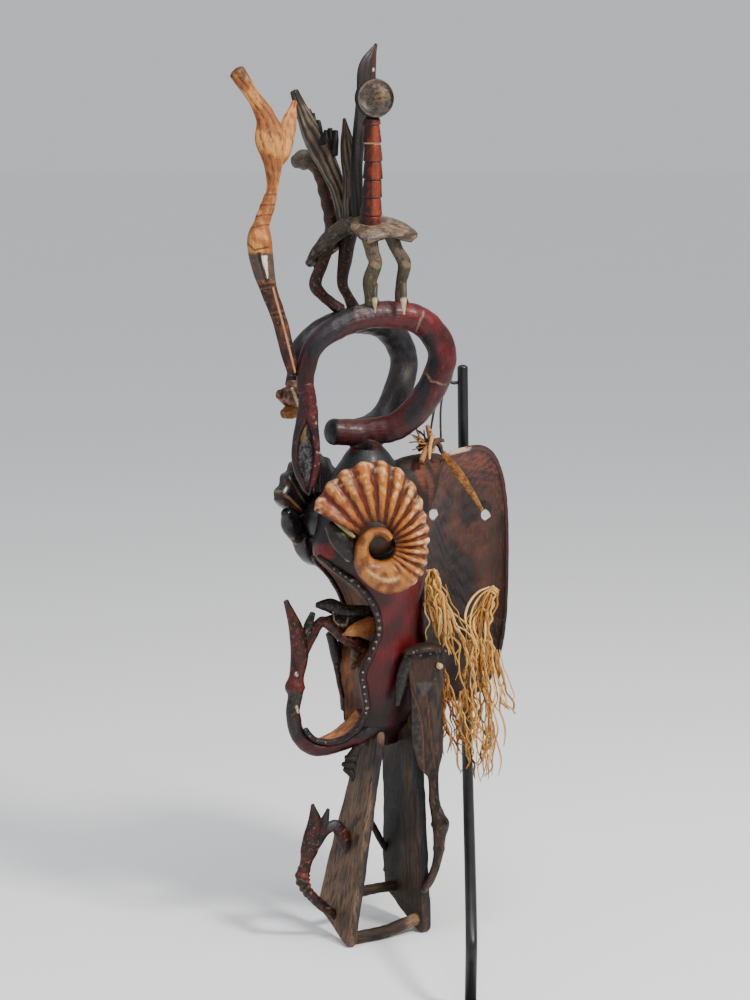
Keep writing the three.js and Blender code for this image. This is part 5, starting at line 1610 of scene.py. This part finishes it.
TIE = [
    (
        [[34, -40, 528, 3, 3], [44, -34, 540, 4, 3], [56, -27, 545, 4, 3], [66, -22, 542, 2.4, 2.4]],
        "a87443"
    ),
    (
        [[44, -18, 536, 2, 2], [54, -25, 547, 3.5, 3], [60, -32, 543, 3, 3], [62, -36, 534, 1.6, 1.6]],
        "3b2a20"
    ),
    ([[50, -34, 538, 4, 4], [53, -28, 550, 3.5, 3.5], [52, -22, 562, 2.4, 2.4]], "b08452"),
    (
        [[38, -36, 524, 2, 2], [46, -36, 538, 2.4, 2.4], [58, -34, 548, 2.4, 2.4], [68, -28, 546, 2, 2]],
        "5b3d29"
    ),
    (
        [
            [58, -20, 548, 2, 2], [52, -32, 552, 2.4, 2.4], [44, -40, 540, 2.4, 2.4],
            [42, -43, 530, 1.6, 1.6]
        ],
        "c79a64"
    ),
]
frays = np.random.default_rng(287)
for k in range(14):
    start = np.array(from_sheet(frays.uniform(420, 432), frays.uniform(440, 452), 0))
    spread = np.array([frays.uniform(-22, 10), 0, frays.uniform(-6, 22)])
    TIE.append((
        [
            [*start, 1.1, 1.1], [*(start + spread * 0.5 + frays.uniform(-3, 3, 3)), 1, 1],
            [*(start + spread), 0.5, 0.5]
        ],
        ("7d5634", "3b2a20", "a8804f")[k % 3],
    ))
strands = [
    limb(line, rows=36, sides=10, colour=code, seed=283 + k, rough=0.5)
    for k, (line, code) in enumerate(TIE)
]
put("fibre_tie", strands, bark, "bark_strip", "top_tie")


def of_stand(side, away, z):
    """A point of the stand, whose rod lies in one upright plane: across it, along it and up."""
    return [side * np.cos(np.pi / 6) + away * 0.5, away * np.cos(np.pi / 6) - side * 0.5, z]


def smooth_metal(name, colour, rough, metallic, dust):
    """Painted or drawn metal: a little uneven in gloss, dusted in broad soft patches."""
    material = bpy.data.materials.new(name)
    material.use_nodes = True
    nodes, links = material.node_tree.nodes, material.node_tree.links
    shader = nodes["Principled BSDF"]
    place = nodes.new("ShaderNodeTexCoord")
    cloud, grit = nodes.new("ShaderNodeTexNoise"), nodes.new("ShaderNodeTexNoise")
    cloud.inputs["Scale"].default_value, grit.inputs["Scale"].default_value = 30, 900
    ramp = nodes.new("ShaderNodeValToRGB")
    for stop, paint, position in zip(ramp.color_ramp.elements, (colour, dust), (0.45, 0.8)):
        stop.color, stop.position = (*tint(paint), 1), position
    gloss = nodes.new("ShaderNodeMapRange")
    gloss.inputs["To Min"].default_value, gloss.inputs["To Max"].default_value = rough - 0.08, rough + 0.12
    bump = nodes.new("ShaderNodeBump")
    bump.inputs["Strength"].default_value, bump.inputs["Distance"].default_value = 0.12, 0.0004
    for texture in (cloud, grit):
        links.new(place.outputs["Object"], texture.inputs["Vector"])
    links.new(cloud.outputs["Fac"], ramp.inputs["Fac"])
    links.new(ramp.outputs["Color"], shader.inputs["Base Color"])
    links.new(cloud.outputs["Fac"], gloss.inputs["Value"])
    links.new(gloss.outputs["Result"], shader.inputs["Roughness"])
    links.new(grit.outputs["Fac"], bump.inputs["Height"])
    links.new(bump.outputs["Normal"], shader.inputs["Normal"])
    shader.inputs["Metallic"].default_value = metallic
    return material


hook_tip = of_stand(78.4, 125, 600)
wire_metal = smooth_metal("dark_wire", "2b211b", 0.5, 0.5, "6b4d35")
wires = [
    limb(
        [
            [*hook_tip, 1.2, 1.2], [*((np.array(hook_tip) + end) / 2 + [-3, 0, 0]), 1.2, 1.2],
            [*end, 1.2, 1.2]
        ],
        rows=60, sides=12, rough=0.1, colour="2b211b"
    )
    for end in (np.array([52, -28, 556.0]), np.array([70, -21, 544.0]))
]
put("hanging_wire_loop", wires, wire_metal, "wire", "hanging_wire")

# Raffia hangs loose in two bundles: one from the near rim beside the ear, one from a knot inside
# the hollow. Each strand is a thin split leaf, straw-yellow, browner where it is old.


def strand(line, thick, colour, seed, rows=34):
    """One strand: a narrow five-sided strip swept along its own wandering path."""
    stations = np.hstack([line, np.full((len(line), 1), thick), np.full((len(line), 1), thick * 0.6)])
    stations[-1, 3:] *= 0.4
    return limb(
        stations, across=FLAT_WISE, rows=rows, sides=5, colour=colour, worn=0.2, rough=0.05, seed=seed
    )


def bundle(count, course, wander, shortest, seed, codes):
    """Strands that follow a course of (right, down, behind, spread) stations of the drawing. Each
    keeps its own share of the spread, strays by a random walk, and stops at its own length."""
    mix = np.random.default_rng(seed)
    course = np.array(course, float)
    out = []
    for k in range(count):
        stop = mix.uniform(shortest, 1.0) if k % 5 else 1.0
        t = np.linspace(0, stop, 11)
        row = curve(course[:, :3], t)
        spread = curve(course[:, 3:], t, 0.4)[:, 0]
        lean = np.clip(mix.normal(scale=0.6), -1.1, 1.1)
        stray = np.cumsum(
            mix.normal(scale=wander, size=(11, 2)), axis=0
        ) * np.linspace(0.35, 1, 11)[:, None]
        stray -= np.linspace(0, 1, 11)[:, None] * stray[-1] * 0.6
        spots = [
            from_sheet(
                r + spread[i] * lean + stray[i, 0], d + 0.4 * stray[i, 1],
                b + stray[i, 1] * 1.2 + 2.5 * (k % 3)
            )
            for i, (r, d, b) in enumerate(row)
        ]
        shade = tint(codes[k % len(codes)]) * mix.uniform(0.8, 1.15)
        out.append(strand(np.array(spots), mix.uniform(0.7, 1.4), shade, seed * 100 + k))
    return out


straw = ["dfb067", "c4924a", "ebc888", "a8763a", "dcae66", "b98443"]
old_straw = ["a8753a", "8b5c2d", "b98848", "6e4926"]
raffia = finished_wood(
    "dry_raffia", 0.55, "f0d49a", "85592a", fibre=0.35, speckle=0.1, chips=0.25, relief=0.5
)
near_strands = bundle(
    26, [(431, 570, -24, 5), (432, 590, -26, 8), (436, 620, -22, 11), (441, 655, -14, 10)], 3.4, 0.55, 3,
    straw
)
near_strands += bundle(
    10, [(436, 585, -24, 6), (450, 620, -10, 7), (462, 650, 0, 9), (474, 690, 6, 11)], 3.6, 0.6, 5, straw
)
near_strands += bundle(
    22, [(440, 668, -2, 3), (446, 690, 0, 8), (451, 722, 2, 12), (456, 756, 4, 12)], 4.2, 0.5, 7,
    old_straw + straw[:2]
)
put("near_raffia_strands", near_strands, raffia, "raffia", "near_raffia")
far_strands = bundle(
    26, [(492, 590, 84, 4), (484, 614, 66, 6), (481, 648, 44, 8), (482, 684, 26, 12)], 3.4, 0.6, 9, straw
)
far_strands += bundle(
    26, [(480, 640, 40, 8), (481, 680, 22, 13), (483, 722, 6, 15), (484, 778, -8, 15)], 4.4, 0.5, 11, straw
)
far_strands += bundle(
    16, [(466, 690, 18, 8), (468, 720, 8, 12), (472, 750, 0, 11), (476, 776, -6, 10)], 4.4, 0.5, 13,
    straw + old_straw
)
far_strands += bundle(
    5, [(496, 650, 30, 4), (502, 680, 22, 5), (508, 702, 14, 7), (514, 714, 10, 4)], 2.0, 0.7, 15, straw
)
far_strands += [
    strand(np.array([from_sheet(r, d, b) for r, d, b in line]), thick, code, 901 + k)
    for k, (line, thick, code) in enumerate((
        ([(489, 587, 84), (478, 592, 74), (469, 603, 62), (465, 616, 52), (467, 630, 42)], 1.4, "e8c27e"),
        ([(491, 588, 84), (480, 596, 72), (472, 610, 60), (470, 628, 44), (476, 652, 30)], 1.1, "dfb468"),
        ([(453, 613, -4), (468, 626, 10), (474, 638, 14), (479, 652, 16)], 1.1, "dfb468"),
        ([(490, 607, 80), (494, 616, 76), (499, 620, 74), (505, 620, 74)], 0.5, "2a1f18"),
    ))
]
knot_loops = [coil(from_sheet(493, 591, 84), [6, 2, 5], 4.5, 3, 1.5, "d9ae66", 907)]
put("far_raffia_strands", far_strands + knot_loops, raffia, "raffia", "far_raffia")

# The stand is a bent steel rod, painted satin black, welded to a flat foot. It rises behind the
# hollow; a short hook welded to its side carries the wire.
steel = smooth_metal("satin_black_steel", "141416", 0.38, 0.0, "26262a")
bends = [
    of_stand(98.3, 128, 613), of_stand(104.3, 128, 235), of_stand(104, 118, 212), of_stand(97, -233, 108),
    of_stand(96.5, -236, 62), of_stand(96, -236, 5),
]
s = np.linspace(0, 1, 120)[:, None]
top, upper, k0, k1, lower, foot_end = (np.array(p) for p in bends)
crank = (1 - s) ** 3 * upper + 3 * (1 - s) ** 2 * s * k0 + 3 * (1 - s) * s**2 * k1 + s**3 * lower
straight = top + (upper - top) * np.linspace(0, 0.98, 14)[:, None]
drop = lower + (foot_end - lower) * np.linspace(0.1, 1, 8)[:, None]
rod_path = np.vstack([straight, crank[::6], drop])
rod = limb(
    np.hstack([rod_path, np.full((len(rod_path), 2), 6.0)]), across=FLAT_WISE, rows=260, sides=32,
    rough=0.0, colour="141416"
)
welded = limb([
    [*of_stand(99, 128, 598), 2, 2], [*of_stand(88, 127, 596), 2, 2], [*of_stand(83, 126, 599), 2, 2],
    [*of_stand(82, 126, 606), 1.6, 1.6],
], rows=60, sides=20, rough=0.0, colour="141416")
put("steel_rod", [rod, welded], steel, "black_steel", "stand_rod")


def foot_plate():
    """The foot: a flat plate with softly rounded corners, |a|^8 + |b|^8 = 1, and a bevelled rim."""
    t = np.linspace(0, 2 * np.pi, 200, endpoint=False)
    a = np.sign(np.cos(t)) * np.abs(np.cos(t)) ** 0.25 * 70
    b = np.sign(np.sin(t)) * np.abs(np.sin(t)) ** 0.25 * 85
    share = np.array([0.05, 0.5, 0.9, 0.985, 0.997, 1, 1, 0.997, 0.985, 0.9, 0.5, 0.05])
    height = np.array([6, 6, 6, 6, 5.6, 4.8, 1.2, 0.4, 0, 0, 0, 0.0])
    middle = np.array([of_stand(96, -313, 0)[0], of_stand(96, -313, 0)[1]])
    x = a * TURN_COS + b * TURN_SIN
    y = b * TURN_COS - a * TURN_SIN
    rings = np.dstack(
        [middle[0] + share[:, None] * x, middle[1] + share[:, None] * y, height[:, None] + 0 * x]
    )
    return closed_skin(rings, [*middle, 6], [*middle, 0])


put("steel_foot", [finish_skin(foot_plate(), "141416", 0.1)], steel, "black_steel", "stand_foot")

# The mask stands on a pale studio floor that runs out to a pale distance, lit softly from the
# right and above; the camera stands on its near side, 30 degrees round to its face.


# The middle of the head over the floor, in metres.
HEAD_SPOT = FOOT_TO_HEAD / 1000


def open_floor():
    """The floor: rings of widening radius on one level, from under the mask out to the distance."""
    radius = np.array([0.3, 0.8, 1.6, 3.0, 6.0, 12.0, 24.0, 60.0])[:, None]
    count = 72
    angle = np.linspace(0, 2 * np.pi, count, endpoint=False)[None]
    points = np.dstack([radius * np.cos(angle), radius * np.sin(angle), 0 * radius * angle]).reshape(-1, 3)
    here, there = np.arange(count), (np.arange(count) + 1) % count
    inner = np.arange(len(radius) - 1)[:, None] * count
    start, side = inner + here, inner + there
    faces = np.stack([start, start + count, side + count, side], axis=-1).reshape(-1, 4)
    middle = np.stack([here, there, np.full(count, len(points))], axis=-1)
    return np.vstack([points, [0, 0, 0]]) + HEAD_SPOT, faces.tolist() + middle.tolist()


paper = bpy.data.materials.new("pale_floor")
paper.use_nodes = True
nodes, links = paper.node_tree.nodes, paper.node_tree.links
where, cloud, wash = nodes.new(
    "ShaderNodeTexCoord"
), nodes.new("ShaderNodeTexNoise"), nodes.new("ShaderNodeValToRGB")
cloud.inputs["Scale"].default_value = 1.3
wash.color_ramp.elements[0].color, wash.color_ramp.elements[1].color = (
    0.955, 0.955, 0.955, 1
), (0.985, 0.985, 0.985, 1)
links.new(where.outputs["Object"], cloud.inputs["Vector"])
links.new(cloud.outputs["Fac"], wash.inputs["Fac"])
links.new(wash.outputs["Color"], nodes["Principled BSDF"].inputs["Base Color"])
nodes["Principled BSDF"].inputs["Roughness"].default_value = 0.85
points, faces = open_floor()
mesh = bpy.data.meshes.new("studio_floor")
mesh.from_pydata(points.tolist(), [], faces)
mesh.polygons.foreach_set("use_smooth", np.ones(len(mesh.polygons), bool))
mesh.materials.append(paper)
floor = bpy.data.objects.new("studio_floor", mesh)
bpy.context.scene.collection.objects.link(floor)

world = bpy.data.worlds.new("studio_air")
bpy.context.scene.world = world
world.use_nodes = True
world.node_tree.nodes["Background"].inputs["Color"].default_value = (0.93, 0.96, 1.0, 1)
world.node_tree.nodes["Background"].inputs["Strength"].default_value = 0.64


def aim_at(body, spot, way):
    """Sets a lamp or the camera at a spot and turns it to look along a way, with its top up."""
    way = way / np.linalg.norm(way)
    side = np.cross(way, [0, 0, 1.0])
    side /= np.linalg.norm(side)
    over = np.cross(side, way)
    body.matrix_world = Matrix([[side[k], over[k], -way[k], spot[k]] for k in range(3)] + [[0, 0, 0, 1]])


def softbox(name, across, away, up, aim, size, power, colour=(1, 1, 1)):
    """A square soft light at a place seen from the front view, turned to its aim."""
    lamp = bpy.data.lights.new(name, "AREA")
    lamp.energy, lamp.size, lamp.color = power, size, colour
    body = bpy.data.objects.new(name, lamp)
    spot = HEAD_SPOT + [across * TURN_COS + away * TURN_SIN, away * TURN_COS - across * TURN_SIN, up]
    aim_at(body, spot, HEAD_SPOT + [0, 0, aim] - spot)
    bpy.context.scene.collection.objects.link(body)


softbox("key_from_the_right", 1.5, -1.2, 2.2, 0.45, 0.45, 74, (1, 0.96, 0.91))
softbox("fill_from_the_left", -1.9, -1.2, 1.5, 0.5, 1.6, 8, (0.92, 0.96, 1))
softbox("top_light", 0.2, -0.5, 2.6, 0.2, 1.0, 24)

camera = bpy.data.cameras.new("camera")
camera.lens, camera.sensor_width, camera.sensor_fit = 81.2, 36, "VERTICAL"
camera.sensor_height = 36
view = bpy.data.objects.new("camera", camera)
pitch = np.radians(9.05)
look = np.array([TURN_SIN * np.cos(pitch), TURN_COS * np.cos(pitch), -np.sin(pitch)])
aim_at(view, [-1.1266, -1.7589, 0.865], look)
bpy.context.scene.collection.objects.link(view)
bpy.context.scene.camera = view

bpy.context.view_layer.update()
